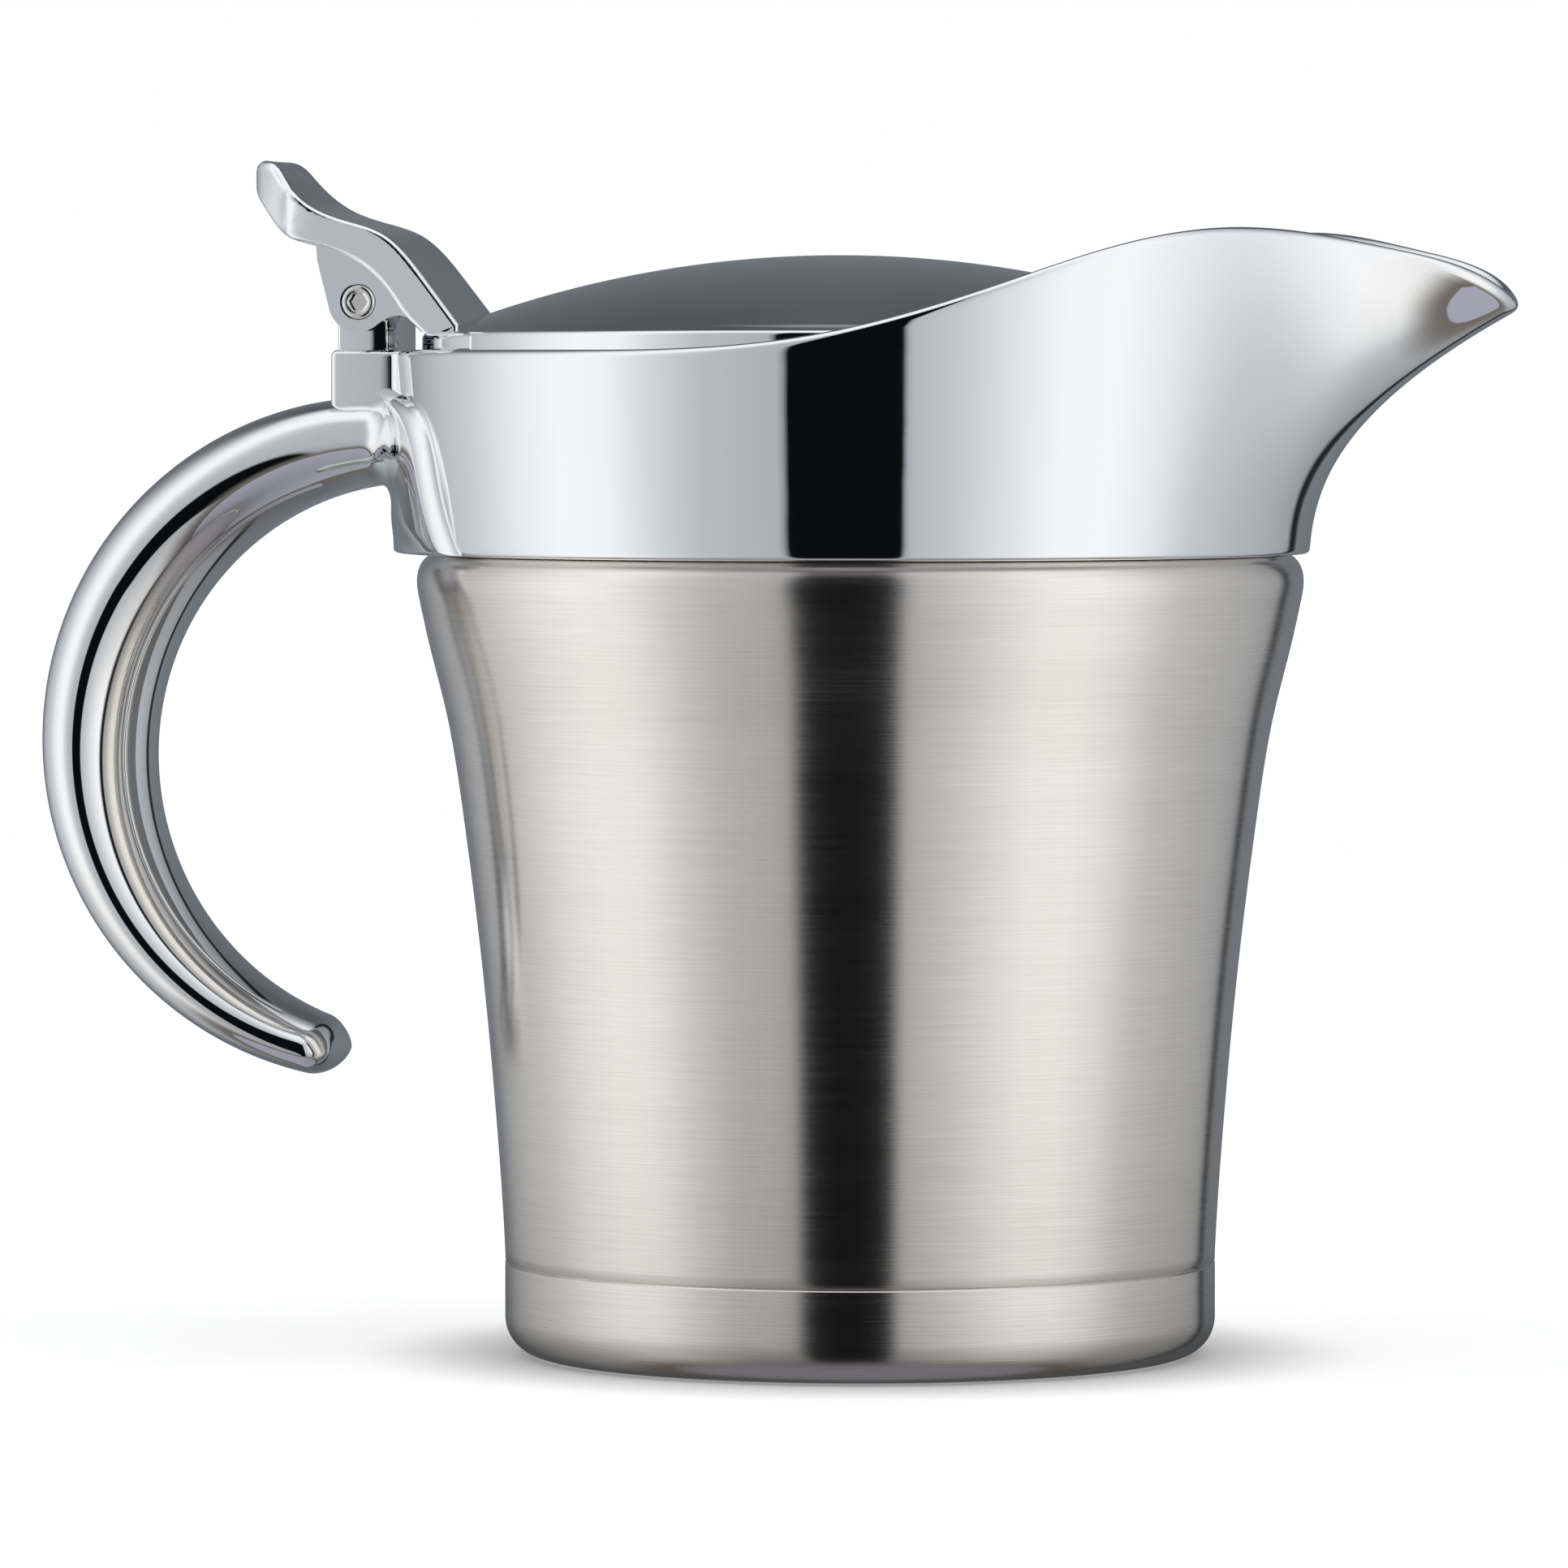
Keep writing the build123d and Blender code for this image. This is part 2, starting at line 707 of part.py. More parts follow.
def lid_insulation():
    low = liner_plate_low() + liner_cup_wall + foam_gap
    foam = disc(liner_cup_radius - liner_cup_wall - foam_gap, low, low + foam_thickness, x=lid_centre)
    for x, y in liner_screw_places():
        foam = foam - disc(boss_radius + foam_gap, low - 1, lid_top_height, x, y)
    notch = block((-lug_back - 1, -lug_half_width - foam_gap, lug_top - lug_thickness - foam_gap),
                  (-lug_front + foam_gap, lug_half_width + foam_gap, lid_top_height))
    return foam - notch


def lid_seal():
    outer = lid_radius - 0.4
    solid = ring(outer, liner_cup_radius, seal_bottom, skirt_bottom)
    return Pos(lid_centre, 0, 0) * solid


# Thumb lever and hinge

def from_pin(along, up):
    """A point in the side view, from the pin's centre, in shares of the lever's length."""
    return (-pin_reach + along * lever_length, pin_height + up * lever_length)


def lever_outline():
    """Side outline of the lever: top line, foot, underside and tip."""
    tip_top = from_pin(-0.481, 0.651)
    tip_low = from_pin(-0.547, 0.550)
    shoulder = from_pin(0.313, 0.122)
    toe = (from_pin(0.512, 0)[0], lug_top)
    heel = (from_pin(0.305, 0)[0], lug_top)
    hollow = from_pin(0.252, -0.088)
    front = Line(shoulder, toe)
    back = Line(heel, hollow)
    top = Spline(tip_top, from_pin(-0.359, 0.569), from_pin(-0.221, 0.439), from_pin(-0.050, 0.372),
                 from_pin(0.130, 0.307), from_pin(0.248, 0.202), shoulder, tangents=((1, 0.05), front % 0))
    under = Spline(hollow, from_pin(0.164, 0.027), from_pin(0.008, 0.179), from_pin(-0.210, 0.260),
                   from_pin(-0.359, 0.313), from_pin(-0.489, 0.450), tip_low,
                   tangents=(back % 1, (-0.15, 1)))
    tip = ThreePointArc(tip_low, from_pin(-0.532, 0.622), tip_top)
    return make_face([top, front, Line(toe, heel), back, under, tip])


def lever_plan():
    """Plan outline of the lever: rounded tip, wider foot."""
    tip_x = -pin_reach - lever_tip_reach
    waist_x = -pin_reach - lever_waist_reach
    foot_x = -lug_front + 2
    tip = lever_tip_half_width
    waist = lever_waist_half_width
    foot = lever_foot_half_width
    pad = (tip_x + lever_pad_length, tip)
    nose = (tip_x + 0.36 * lever_pad_length, 0.68 * tip)
    left = Line((foot_x, foot), (waist_x, waist))
    right = Line((waist_x, -waist), (foot_x, -foot))
    end = Spline((waist_x, waist), pad, nose, (tip_x, 0), (nose[0], -nose[1]), (pad[0], -pad[1]),
                 (waist_x, -waist), tangents=(left % 1, right % 0))
    return make_face([left, end, right, Line((foot_x, -foot), (foot_x, foot))])


def ear_outline():
    """Side outline of a hinge ear, round about the pin and running up into the lever."""
    x, z = -pin_reach, pin_height
    r = ear_round_radius
    back = Line(from_pin(-0.198, 0.279), from_pin(-0.191, 0.191))
    side = Line(back @ 1, (x - r, z - 0.167 * r))
    low = ThreePointArc(side @ 1, (x - 0.278 * r, z - 0.961 * r), (x + 0.667 * r, z - 0.75 * r))
    web = Spline(low @ 1, from_pin(0.164, -0.065), from_pin(0.298, -0.103), tangents=((1, 0.75), (1, -0.6)))
    up = Line(web @ 1, from_pin(0.305, 0.023))
    inside = Line(up @ 1, from_pin(0.095, 0.191))
    over = Line(inside @ 1, back @ 0)
    return make_face([back, side, low, web, up, inside, over])


def thumb_lever():
    span = 2 * lever_foot_half_width
    arm = Pos(0, span, 0) * extrude(Plane.XZ * lever_outline(), 2 * span)
    plan = Pos(0, 0, pin_height - cut_past) * extrude(lever_plan(), 2 * cut_past)
    arm = arm & plan
    tops = arm.edges().filter_by(lambda edge: edge.center().Z > lug_top + 0.2)
    arm = fillet(tops, lever_edge_round)
    for side in (-1, 1):
        ear = extrude(Plane.XZ * ear_outline(), ear_thickness)
        shift = ear_outer if side > 0 else -ear_inner
        arm = arm + Pos(0, shift, 0) * ear
    far = ear_outer + cut_past
    pin = rod_along_y(pin_radius, -far, far, -pin_reach, pin_height)
    arm = arm - pin
    for low, high in ((-far, -ear_outer + pin_head_depth), (ear_outer - pin_head_depth, far)):
        arm = arm - rod_along_y(pin_head_radius + piece_gap, low, high, -pin_reach, pin_height)
    roof = disc(lid_radius, skirt_bottom, lid_edge_height, x=lid_centre)
    arm = arm - (roof + dome_cap(lid_radius, lid_edge_height, lid_top_height))
    for x, y in lever_screw_places():
        arm = arm - disc(lever_screw_radius, lug_top - 1, lug_top + lever_screw_grip, x, y)
    return arm


def lever_screws():
    low = lug_top - lug_thickness
    screws = []
    for x, y in lever_screw_places():
        head = disc(lever_screw_head_radius, low, low + screw_head_height, x, y)
        shank = disc(lever_screw_radius, low + screw_head_height, lug_top + lever_screw_grip, x, y)
        screws.append(head + shank)
    return screws


def hex_socket(low, high):
    """Six-sided socket along Y at the pin."""
    plane = Plane((-pin_reach, low, pin_height), x_dir=(1, 0, 0), z_dir=(0, 1, 0))
    return plane * extrude(RegularPolygon(socket_radius, 6), high - low)


def hinge_barrel():
    seat = -ear_outer + pin_head_depth
    x, z = -pin_reach, pin_height
    head = rod_along_y(pin_head_radius, -ear_outer, seat, x, z)
    shaft = rod_along_y(pin_radius, seat, ear_outer - pin_head_depth, x, z)
    bore = rod_along_y(pin_bore_radius, 0, ear_outer, x, z)
    socket = hex_socket(-ear_outer - 1, -ear_outer + socket_depth)
    return cut_bodies(head + shaft, bore, socket)


def hinge_screw():
    seat = ear_outer - pin_head_depth
    x, z = -pin_reach, pin_height
    head = rod_along_y(pin_head_radius, seat, ear_outer, x, z)
    shank = rod_along_y(pin_bore_radius, 1.0, seat, x, z)
    socket = hex_socket(ear_outer - screw_socket_depth, ear_outer + 1)
    return head + shank - socket


def hinge_washers():
    far = washer_inner + cut_past
    hole = rod_along_y(pin_radius, -far, far, -pin_reach, pin_height)
    washers = []
    for low in (washer_inner, -washer_inner - washer_thickness):
        plate = rod_along_y(washer_radius, low, low + washer_thickness, -pin_reach, pin_height)
        washers.append(plate - hole)
    return washers


def save(name, shape):
    """Writes one sub-part, made of one solid or of a list of like solids."""
    if isinstance(shape, list):
        shape = Compound(children=[Part() + piece for piece in shape])
    export_step(shape, f"parts/{name}.step")


os.makedirs("parts", exist_ok=True)
whole_handle = handle_form()
inner_cover = handle_cover(whole_handle)
save("outer_shell", outer_shell())
save("base_cup", base_cup())
save("vacuum_bottom", vacuum_bottom())
save("port_seal", port_seal())
save("inner_vessel", inner_vessel())
save("getter", getter())
save("spout_collar", spout_collar(whole_handle, saddle_form()))
save("collar_seal", collar_seal())
save("handle_shell", handle_shell(whole_handle, inner_cover))
save("handle_cover", inner_cover)
save("handle_screws", handle_screws())
save("lid_dome", lid_dome())
save("lid_liner", lid_liner())
save("lid_liner_screws", lid_liner_screws())
save("lid_insulation", lid_insulation())
save("lid_seal", lid_seal())
save("thumb_lever", thumb_lever())
save("lever_screws", lever_screws())
save("hinge_barrel", hinge_barrel())
save("hinge_screw", hinge_screw())
save("hinge_washers", hinge_washers())
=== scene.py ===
from math import cos, degrees, exp, pi, radians, sin, sqrt

import bmesh
import bpy
import numpy as np
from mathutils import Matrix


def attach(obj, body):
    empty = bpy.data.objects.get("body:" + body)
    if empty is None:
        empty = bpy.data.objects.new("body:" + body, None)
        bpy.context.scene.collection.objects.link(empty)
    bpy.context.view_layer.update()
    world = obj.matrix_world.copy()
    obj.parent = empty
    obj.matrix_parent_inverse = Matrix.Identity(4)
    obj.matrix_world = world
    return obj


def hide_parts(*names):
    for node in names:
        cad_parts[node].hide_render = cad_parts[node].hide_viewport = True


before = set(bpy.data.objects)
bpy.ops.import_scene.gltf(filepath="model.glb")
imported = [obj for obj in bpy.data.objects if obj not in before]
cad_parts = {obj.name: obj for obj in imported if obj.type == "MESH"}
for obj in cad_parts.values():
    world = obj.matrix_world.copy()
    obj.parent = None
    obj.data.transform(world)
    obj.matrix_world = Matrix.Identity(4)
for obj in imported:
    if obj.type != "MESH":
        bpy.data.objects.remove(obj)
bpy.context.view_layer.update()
MM = 0.001


# Node helpers

def new_material(name):
    """An empty material with its node tree and a Principled shader."""
    material = bpy.data.materials.new(name)
    material.use_nodes = True
    tree = material.node_tree
    tree.nodes.clear()
    output = tree.nodes.new("ShaderNodeOutputMaterial")
    shader = tree.nodes.new("ShaderNodeBsdfPrincipled")
    tree.links.new(shader.outputs["BSDF"], output.inputs["Surface"])
    return material, tree, shader


def add(tree, kind, inputs=None, **settings):
    """A node with its settings, and its inputs set to values or linked to sockets."""
    node = tree.nodes.new(kind)
    for key, value in settings.items():
        setattr(node, key, value)
    for key, value in (inputs or {}).items():
        if isinstance(value, bpy.types.NodeSocket):
            tree.links.new(value, node.inputs[key])
        else:
            node.inputs[key].default_value = value
    return node


def calc(tree, operation, first, second=0.0):
    """A number worked out from one or two inputs."""
    return add(tree, "ShaderNodeMath", {0: first, 1: second}, operation=operation).outputs[0]


def ramp(tree, factor, stops, interpolation="LINEAR"):
    """A colour from a factor, by stops of position and colour."""
    node = add(tree, "ShaderNodeValToRGB", {"Fac": factor})
    band = node.color_ramp
    band.interpolation = interpolation
    while len(band.elements) > 1:
        band.elements.remove(band.elements[-1])
    band.elements[0].position = stops[0][0]
    band.elements[0].color = (*stops[0][1], 1)
    for position, colour in stops[1:]:
        band.elements.new(position).color = (*colour, 1)
    return node.outputs["Color"]


def mix(tree, factor, first, second):
    """Two colours mixed; each input is a colour, a number or a socket."""
    node = add(tree, "ShaderNodeMix", data_type="RGBA")
    for key, value in (("Factor", factor), (6, first), (7, second)):
        socket = node.inputs[key]
        if isinstance(value, bpy.types.NodeSocket):
            tree.links.new(value, socket)
        elif isinstance(value, tuple):
            socket.default_value = (*value, 1)
        else:
            socket.default_value = value
    return node.outputs[2]


def noise(tree, vector, scale, detail=3.0, rough=0.5):
    """A soft noise between 0 and 1."""
    return add(tree, "ShaderNodeTexNoise", {"Vector": vector, "Scale": scale, "Detail": detail,
                                            "Roughness": rough}).outputs["Fac"]


def span(tree, value, low, high, new_low, new_high):
    """A value moved from one range to another."""
    node = add(tree, "ShaderNodeMapRange", {"Value": value, "From Min": low, "From Max": high,
                                            "To Min": new_low, "To Max": new_high})
    return node.outputs["Result"]


def object_place(tree):
    """The place on the object, in metres."""
    return add(tree, "ShaderNodeTexCoord").outputs["Object"]


def round_place(tree, along, up):
    """Place on a turned wall for brushing lines: stretched round the Z axis, tight along it."""
    parts = add(tree, "ShaderNodeSeparateXYZ", {"Vector": object_place(tree)})
    turn = calc(tree, "ARCTAN2", parts.outputs["Y"], parts.outputs["X"])
    return add(tree, "ShaderNodeCombineXYZ", {"X": calc(tree, "MULTIPLY", turn, along),
                                              "Y": calc(tree, "MULTIPLY", parts.outputs["Z"], up),
                                              "Z": 0.0}).outputs["Vector"]


# Materials

def mirror_chrome():
    """Bright plating with a slight haze and a slight wave."""
    material, tree, shader = new_material("mirror_chrome")
    place = object_place(tree)
    haze = noise(tree, place, 60.0, 4.0)
    tone = noise(tree, place, 25.0, 2.0)
    wave = noise(tree, place, 90.0, 2.0, 0.4)
    rough = span(tree, haze, 0.35, 0.7, 0.02, 0.05)
    colour = mix(tree, tone, (0.90, 0.915, 0.93), (0.93, 0.935, 0.94))
    bump = add(tree, "ShaderNodeBump", {"Height": wave, "Strength": 0.05, "Distance": 0.0004})
    tree.links.new(colour, shader.inputs["Base Color"])
    tree.links.new(rough, shader.inputs["Roughness"])
    tree.links.new(bump.outputs["Normal"], shader.inputs["Normal"])
    shader.inputs["Metallic"].default_value = 1.0
    return material


def brushed_steel():
    """Steel brushed round the vessel, with fine and broad lines."""
    material, tree, shader = new_material("brushed_steel")
    fine = noise(tree, round_place(tree, 3.0, 4200.0), 1.0, 3.0, 0.6)
    broad = noise(tree, round_place(tree, 1.2, 260.0), 1.0, 3.0, 0.5)
    both = calc(tree, "ADD", calc(tree, "MULTIPLY", fine, 0.7), calc(tree, "MULTIPLY", broad, 0.3))
    share = span(tree, both, 0.35, 0.65, 0.0, 1.0)
    colour = mix(tree, share, (0.83, 0.792, 0.745), (0.915, 0.875, 0.828))
    rough = span(tree, both, 0.3, 0.7, 0.18, 0.235)
    bump = add(tree, "ShaderNodeBump", {"Height": fine, "Strength": 0.07, "Distance": 0.0002})
    tangent = add(tree, "ShaderNodeTangent", direction_type="RADIAL", axis="Z")
    tree.links.new(colour, shader.inputs["Base Color"])
    tree.links.new(rough, shader.inputs["Roughness"])
    tree.links.new(bump.outputs["Normal"], shader.inputs["Normal"])
    tree.links.new(tangent.outputs["Tangent"], shader.inputs["Tangent"])
    shader.inputs["Metallic"].default_value = 1.0
    shader.inputs["Anisotropic"].default_value = 0.85
    shader.inputs["Anisotropic Rotation"].default_value = 0.25
    return material


def plain_metal(name, dark, light, rough_low, rough_high, scale):
    """An even metal with a soft cloud in its colour and its gloss."""
    material, tree, shader = new_material(name)
    place = object_place(tree)
    tone = noise(tree, place, scale, 4.0)
    marks = noise(tree, place, scale * 6, 2.0)
    tree.links.new(mix(tree, tone, dark, light), shader.inputs["Base Color"])
    tree.links.new(span(tree, marks, 0.3, 0.7, rough_low, rough_high), shader.inputs["Roughness"])
    shader.inputs["Metallic"].default_value = 1.0
    return material


def moulded(name, dark, light, rough, scale, grain):
    """A moulded or foamed plastic: even colour with a soft cloud in it and a fine grain."""
    material, tree, shader = new_material(name)
    place = object_place(tree)
    tone = noise(tree, place, scale, 3.0)
    fine = noise(tree, place, scale * 40, 2.0)
    bump = add(tree, "ShaderNodeBump", {"Height": fine, "Strength": grain, "Distance": 0.0003})
    tree.links.new(mix(tree, tone, dark, light), shader.inputs["Base Color"])
    tree.links.new(span(tree, fine, 0.3, 0.7, rough, rough + 0.1), shader.inputs["Roughness"])
    tree.links.new(bump.outputs["Normal"], shader.inputs["Normal"])
    return material


chrome = mirror_chrome()
brushed = brushed_steel()
steel = plain_metal("plain_steel", (0.69, 0.67, 0.64), (0.75, 0.73, 0.70), 0.24, 0.29, 35.0)
weld = plain_metal("weld_metal", (0.35, 0.34, 0.33), (0.55, 0.53, 0.5), 0.4, 0.55, 300.0)
screw = plain_metal("screw_steel", (0.5, 0.5, 0.5), (0.68, 0.68, 0.67), 0.2, 0.32, 400.0)
pin = plain_metal("pin_steel", (0.80, 0.785, 0.76), (0.95, 0.94, 0.92), 0.08, 0.2, 500.0)
silicone = moulded("silicone", (0.62, 0.62, 0.60), (0.70, 0.70, 0.68), 0.5, 80.0, 0.05)
liner = moulded("liner_plastic", (0.055, 0.057, 0.06), (0.075, 0.077, 0.08), 0.42, 50.0, 0.15)
foam = moulded("foam", (0.72, 0.71, 0.67), (0.82, 0.81, 0.77), 0.8, 600.0, 0.6)
washer = moulded("washer_plastic", (0.72, 0.72, 0.70), (0.8, 0.8, 0.78), 0.4, 90.0, 0.05)

finishes = {
    "outer_shell": brushed, "base_cup": brushed, "vacuum_bottom": steel, "inner_vessel": steel,
    "port_seal": weld, "getter": weld, "spout_collar": chrome, "handle_shell": chrome,
    "handle_cover": chrome, "lid_dome": chrome, "thumb_lever": chrome, "collar_seal": silicone,
    "lid_seal": silicone, "handle_screws": screw, "lid_liner_screws": screw, "lever_screws": screw,
    "lid_liner": liner, "lid_insulation": foam, "hinge_barrel": pin, "hinge_screw": pin,
    "hinge_washers": washer,
}
for name, material in finishes.items():
    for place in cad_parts[name].material_slots:
        place.material = material


# Mesh helpers, in millimetres until the mesh is made

def hermite(a, b, slope_a, slope_b, t):
    """Points on a cubic between two places with their slopes."""
    return ((2 * t ** 3 - 3 * t ** 2 + 1) * a + (t ** 3 - 2 * t ** 2 + t) * slope_a
            + (3 * t ** 2 - 2 * t ** 3) * b + (t ** 3 - t ** 2) * slope_b)


def spline(points, per_span, closed=False, start=None, end=None):
    """Smooth curve through points. Open ends are free, or run along a start or end direction."""
    p = np.array(points, float)
    n = len(p)
    gap = np.linalg.norm(np.roll(p, -1, 0) - p, axis=1)
    matrix = np.zeros((n, n))
    right = np.zeros_like(p)
    for i in range(n):
        before, after = (i - 1) % n, (i + 1) % n
        matrix[i, before] = gap[i]
        matrix[i, i] = 2 * (gap[before] + gap[i])
        matrix[i, after] = gap[before]
        came = gap[i] * (p[i] - p[before]) / gap[before]
        goes = gap[before] * (p[after] - p[i]) / gap[i]
        right[i] = 3 * (came + goes)
    if not closed:
        for i, other, way, size in ((0, 1, start, gap[0]), (n - 1, n - 2, end, gap[n - 2])):
            matrix[i] = 0
            if way is None:
                matrix[i, i], matrix[i, other] = 2, 1
                right[i] = 3 * (p[max(i, other)] - p[min(i, other)]) / size
            else:
                matrix[i, i] = 1
                right[i] = np.array(way, float) / np.linalg.norm(way)
    slope = np.linalg.solve(matrix, right)
    t = np.linspace(0, 1, per_span, endpoint=False)[:, None]
    spans = n if closed else n - 1
    curve = []
    for i in range(spans):
        j = (i + 1) % n
        curve.append(hermite(p[i], p[j], slope[i] * gap[i], slope[j] * gap[i], t))
    if not closed:
        curve.append(p[-1:])
    return np.concatenate(curve)


def arc(centre, radius, start, end, count):
    """Points on a circle in a side view, between two angles in degrees."""
    angles = np.radians(np.linspace(start, end, count))
    return np.stack([centre[0] + radius * np.cos(angles), centre[1] + radius * np.sin(angles)], 1)


def skin(rings, caps=True):
    """Faces over rings of points that close on themselves, with a fan over each end."""
    rings = np.array(rings, float)
    rows, count = rings.shape[:2]
    points = rings.reshape(-1, 3)
    i = np.arange(count)
    j = (i + 1) % count
    faces = [np.stack([r * count + i, r * count + j, (r + 1) * count + j, (r + 1) * count + i], 1)
             for r in range(rows - 1)]
    faces = np.concatenate(faces).tolist()
    if caps:
        ends = [rings[0].mean(0), rings[-1].mean(0)]
        points = np.concatenate([points, ends])
        first, last = rows * count, rows * count + 1
        faces += [[first, b, a] for a, b in zip(i.tolist(), j.tolist())]
        start = (rows - 1) * count
        faces += [[last, start + a, start + b] for a, b in zip(i.tolist(), j.tolist())]
    return points, faces


def looped(rings):
    """Faces over rings of points that close on themselves and lead back to the first ring."""
    points, faces = skin(rings + rings[:1], caps=False)
    kept = len(points) - len(rings[0])
    return points[:kept], [[v % kept for v in face] for face in faces]


def turned(outline, count=256, centre=0.0):
    """A turned ring from a closed outline of radius and height, about a vertical axis."""
    reach, height = np.array(outline, float).T
    turns = np.linspace(0, 2 * pi, count, endpoint=False)
    return looped([np.stack([centre + reach * cos(a), reach * sin(a), height], 1) for a in turns])


def joined(*shapes):
    """Several shapes as one list of points and faces."""
    points, faces = [], []
    for shape_points, shape_faces in shapes:
        first = sum(len(p) for p in points)
        points.append(np.array(shape_points, float))
        faces += [[first + v for v in face] for face in shape_faces]
    return np.concatenate(points), faces


def drawn(outline, low, high, axis):
    """An outline in the other two directions, drawn along an axis (1 for Y, 2 for Z)."""
    outline = np.array(outline, float)
    count = len(outline)
    ends = [np.insert(outline, axis, value, axis=1) for value in (low, high)]
    caps = [list(range(count)), list(range(2 * count - 1, count - 1, -1))]
    sides = [[i, (i + 1) % count, count + (i + 1) % count, count + i] for i in range(count)]
    return np.concatenate(ends), caps + sides


def box(low, high):
    """A box between two corners."""
    (x0, y0, z0), (x1, y1, z1) = low, high
    return drawn([(x0, z0), (x1, z0), (x1, z1), (x0, z1)], y0, y1, 1)


def rounded(shape, size, steps=5):
    """A shape with its sharp edges rounded."""
    points, faces = shape
    mesh = bpy.data.meshes.new("work")
    mesh.from_pydata(points.tolist(), [], faces)
    work = bmesh.new()
    work.from_mesh(mesh)
    bpy.data.meshes.remove(mesh)
    bmesh.ops.recalc_face_normals(work, faces=work.faces)
    sharp = [edge for edge in work.edges if edge.calc_face_angle(0.0) > radians(40)]
    bmesh.ops.bevel(work, geom=sharp, offset=size, segments=steps, profile=0.5, affect="EDGES")
    work.verts.index_update()
    points = np.array([tuple(vert.co) for vert in work.verts])
    faces = [[vert.index for vert in face.verts] for face in work.faces]
    work.free()
    return points, faces


def piece(name, shape, material, body, slot, *nodes, crease=38.0):
    """A closed mesh that rides on a body and stands for CAD nodes."""
    points, faces = shape
    mesh = bpy.data.meshes.new(name)
    mesh.from_pydata((points * MM).tolist(), [], faces)
    work = bmesh.new()
    work.from_mesh(mesh)
    bmesh.ops.remove_doubles(work, verts=work.verts, dist=2e-7)
    bmesh.ops.dissolve_degenerate(work, edges=work.edges, dist=1e-8)
    bmesh.ops.recalc_face_normals(work, faces=work.faces)
    work.to_mesh(mesh)
    work.free()
    mesh.shade_smooth()
    mesh.set_sharp_from_angle(angle=radians(crease))
    mesh.materials.append(material)
    thing = bpy.data.objects.new(name, mesh)
    bpy.context.scene.collection.objects.link(thing)
    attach(thing, body)
    if nodes:
        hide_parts(*nodes)
    return thing


# Vessel of steel

BASE_RADIUS = 42.7
SEAM_HEIGHT = 11.3
JOINT_HEIGHT = 96.3
NECK_RADIUS = 50.0
NECK_TOP = 101.5
STEEL_WALL = 0.6


def outer_shell():
    """The flared outer wall with its rounded shoulder and the neck under the collar."""
    bend, lean = (52.78, 90.2), (0.21, 1)
    side = spline([(42.66, SEAM_HEIGHT + 0.2), (43.7, 27.8), (45.4, 46.5), (47.7, 65.2),
                   (49.8, 77.7), (51.75, 85.5), bend], 14, start=(0.04, 1), end=lean)
    shoulder = spline([bend, (53.18, 93.3), (52.2, 95.7), (50.9, JOINT_HEIGHT)], 8,
                      start=lean, end=(-1, 0))
    neck_inside = NECK_RADIUS - STEEL_WALL
    neck = [(NECK_RADIUS, JOINT_HEIGHT), (NECK_RADIUS, NECK_TOP), (neck_inside, NECK_TOP),
            (neck_inside, JOINT_HEIGHT - STEEL_WALL)]
    inside = np.concatenate([side, shoulder])[::-4] - np.array([STEEL_WALL, 0.0])
    foot = [(42.1, SEAM_HEIGHT + 0.02), (42.52, SEAM_HEIGHT + 0.02)]
    outline = np.concatenate([side, shoulder[1:], neck, inside[inside[:, 1] < 95.0], foot])
    return turned(outline)


def base_cup():
    """The bottom cup, with the fine groove of the weld at its top edge."""
    corner = 4.6
    flat = BASE_RADIUS - corner
    side = [(BASE_RADIUS - 0.18, SEAM_HEIGHT), (BASE_RADIUS, SEAM_HEIGHT - 0.2)]
    side += [(BASE_RADIUS, z) for z in np.linspace(SEAM_HEIGHT - 0.5, corner + 0.5, 5)]
    turn = arc((flat, corner), corner, 0, -90, 14)
    floor = [(flat * share, 0.0) for share in (0.95, 0.7, 0.4, 0.1, 0.0)]
    inside = [(0.0, STEEL_WALL), (flat, STEEL_WALL)]
    inner_turn = arc((flat, corner), corner - STEEL_WALL, -88, 0, 8)
    rim = [(BASE_RADIUS - STEEL_WALL, SEAM_HEIGHT)]
    return turned(np.concatenate([side, turn, floor, inside, inner_turn, rim]))


# Handle

HOOK_CENTRE = (-58.9, 73.5)
HOOK_RADIUS = 41.5
GRIP_CENTRE = (-54.2, 71.2)
GRIP_RADIUS = 33.4
HOOK_START, HOOK_END = 90.0, 262.0
END_ROUND = 3.0
END_TURN = degrees(END_ROUND / HOOK_RADIUS)
COVER_START, COVER_END = 100.0, 252.0
SPAN = 12
SECTION = [(0, 0), (0.34, 0.018), (0.64, 0.078), (0.88, 0.21), (1, 0.42), (0.9, 0.67), (0.63, 0.87),
           (0.36, 0.97), (0, 1)]
WIDEST = 0.42
PARTING = 6


def collar_radius(height):
    """Radius of the collar's round wall at a height."""
    return 53.9 + 0.069 * (height - JOINT_HEIGHT)


def grip_distance(angle):
    """Distance of the grip's inner side from the hook's centre at an angle."""
    dx = GRIP_CENTRE[0] - HOOK_CENTRE[0]
    dz = GRIP_CENTRE[1] - HOOK_CENTRE[1]
    along = dx * cos(radians(angle)) + dz * sin(radians(angle))
    return along + sqrt(along ** 2 - dx ** 2 - dz ** 2 + GRIP_RADIUS ** 2)


def hook_width(angle):
    """Half the hook's width at an angle: widest at the root, drawn in at the end."""
    root, middle, end = 12.8, 12.0, 8.6
    share = (angle - HOOK_START) / (HOOK_END - HOOK_START)
    full = root - (root - middle) * min(share * 3, 1)
    if share > 0.55:
        full -= (middle - end) * ((share - 0.55) / 0.45) ** 2
    return full


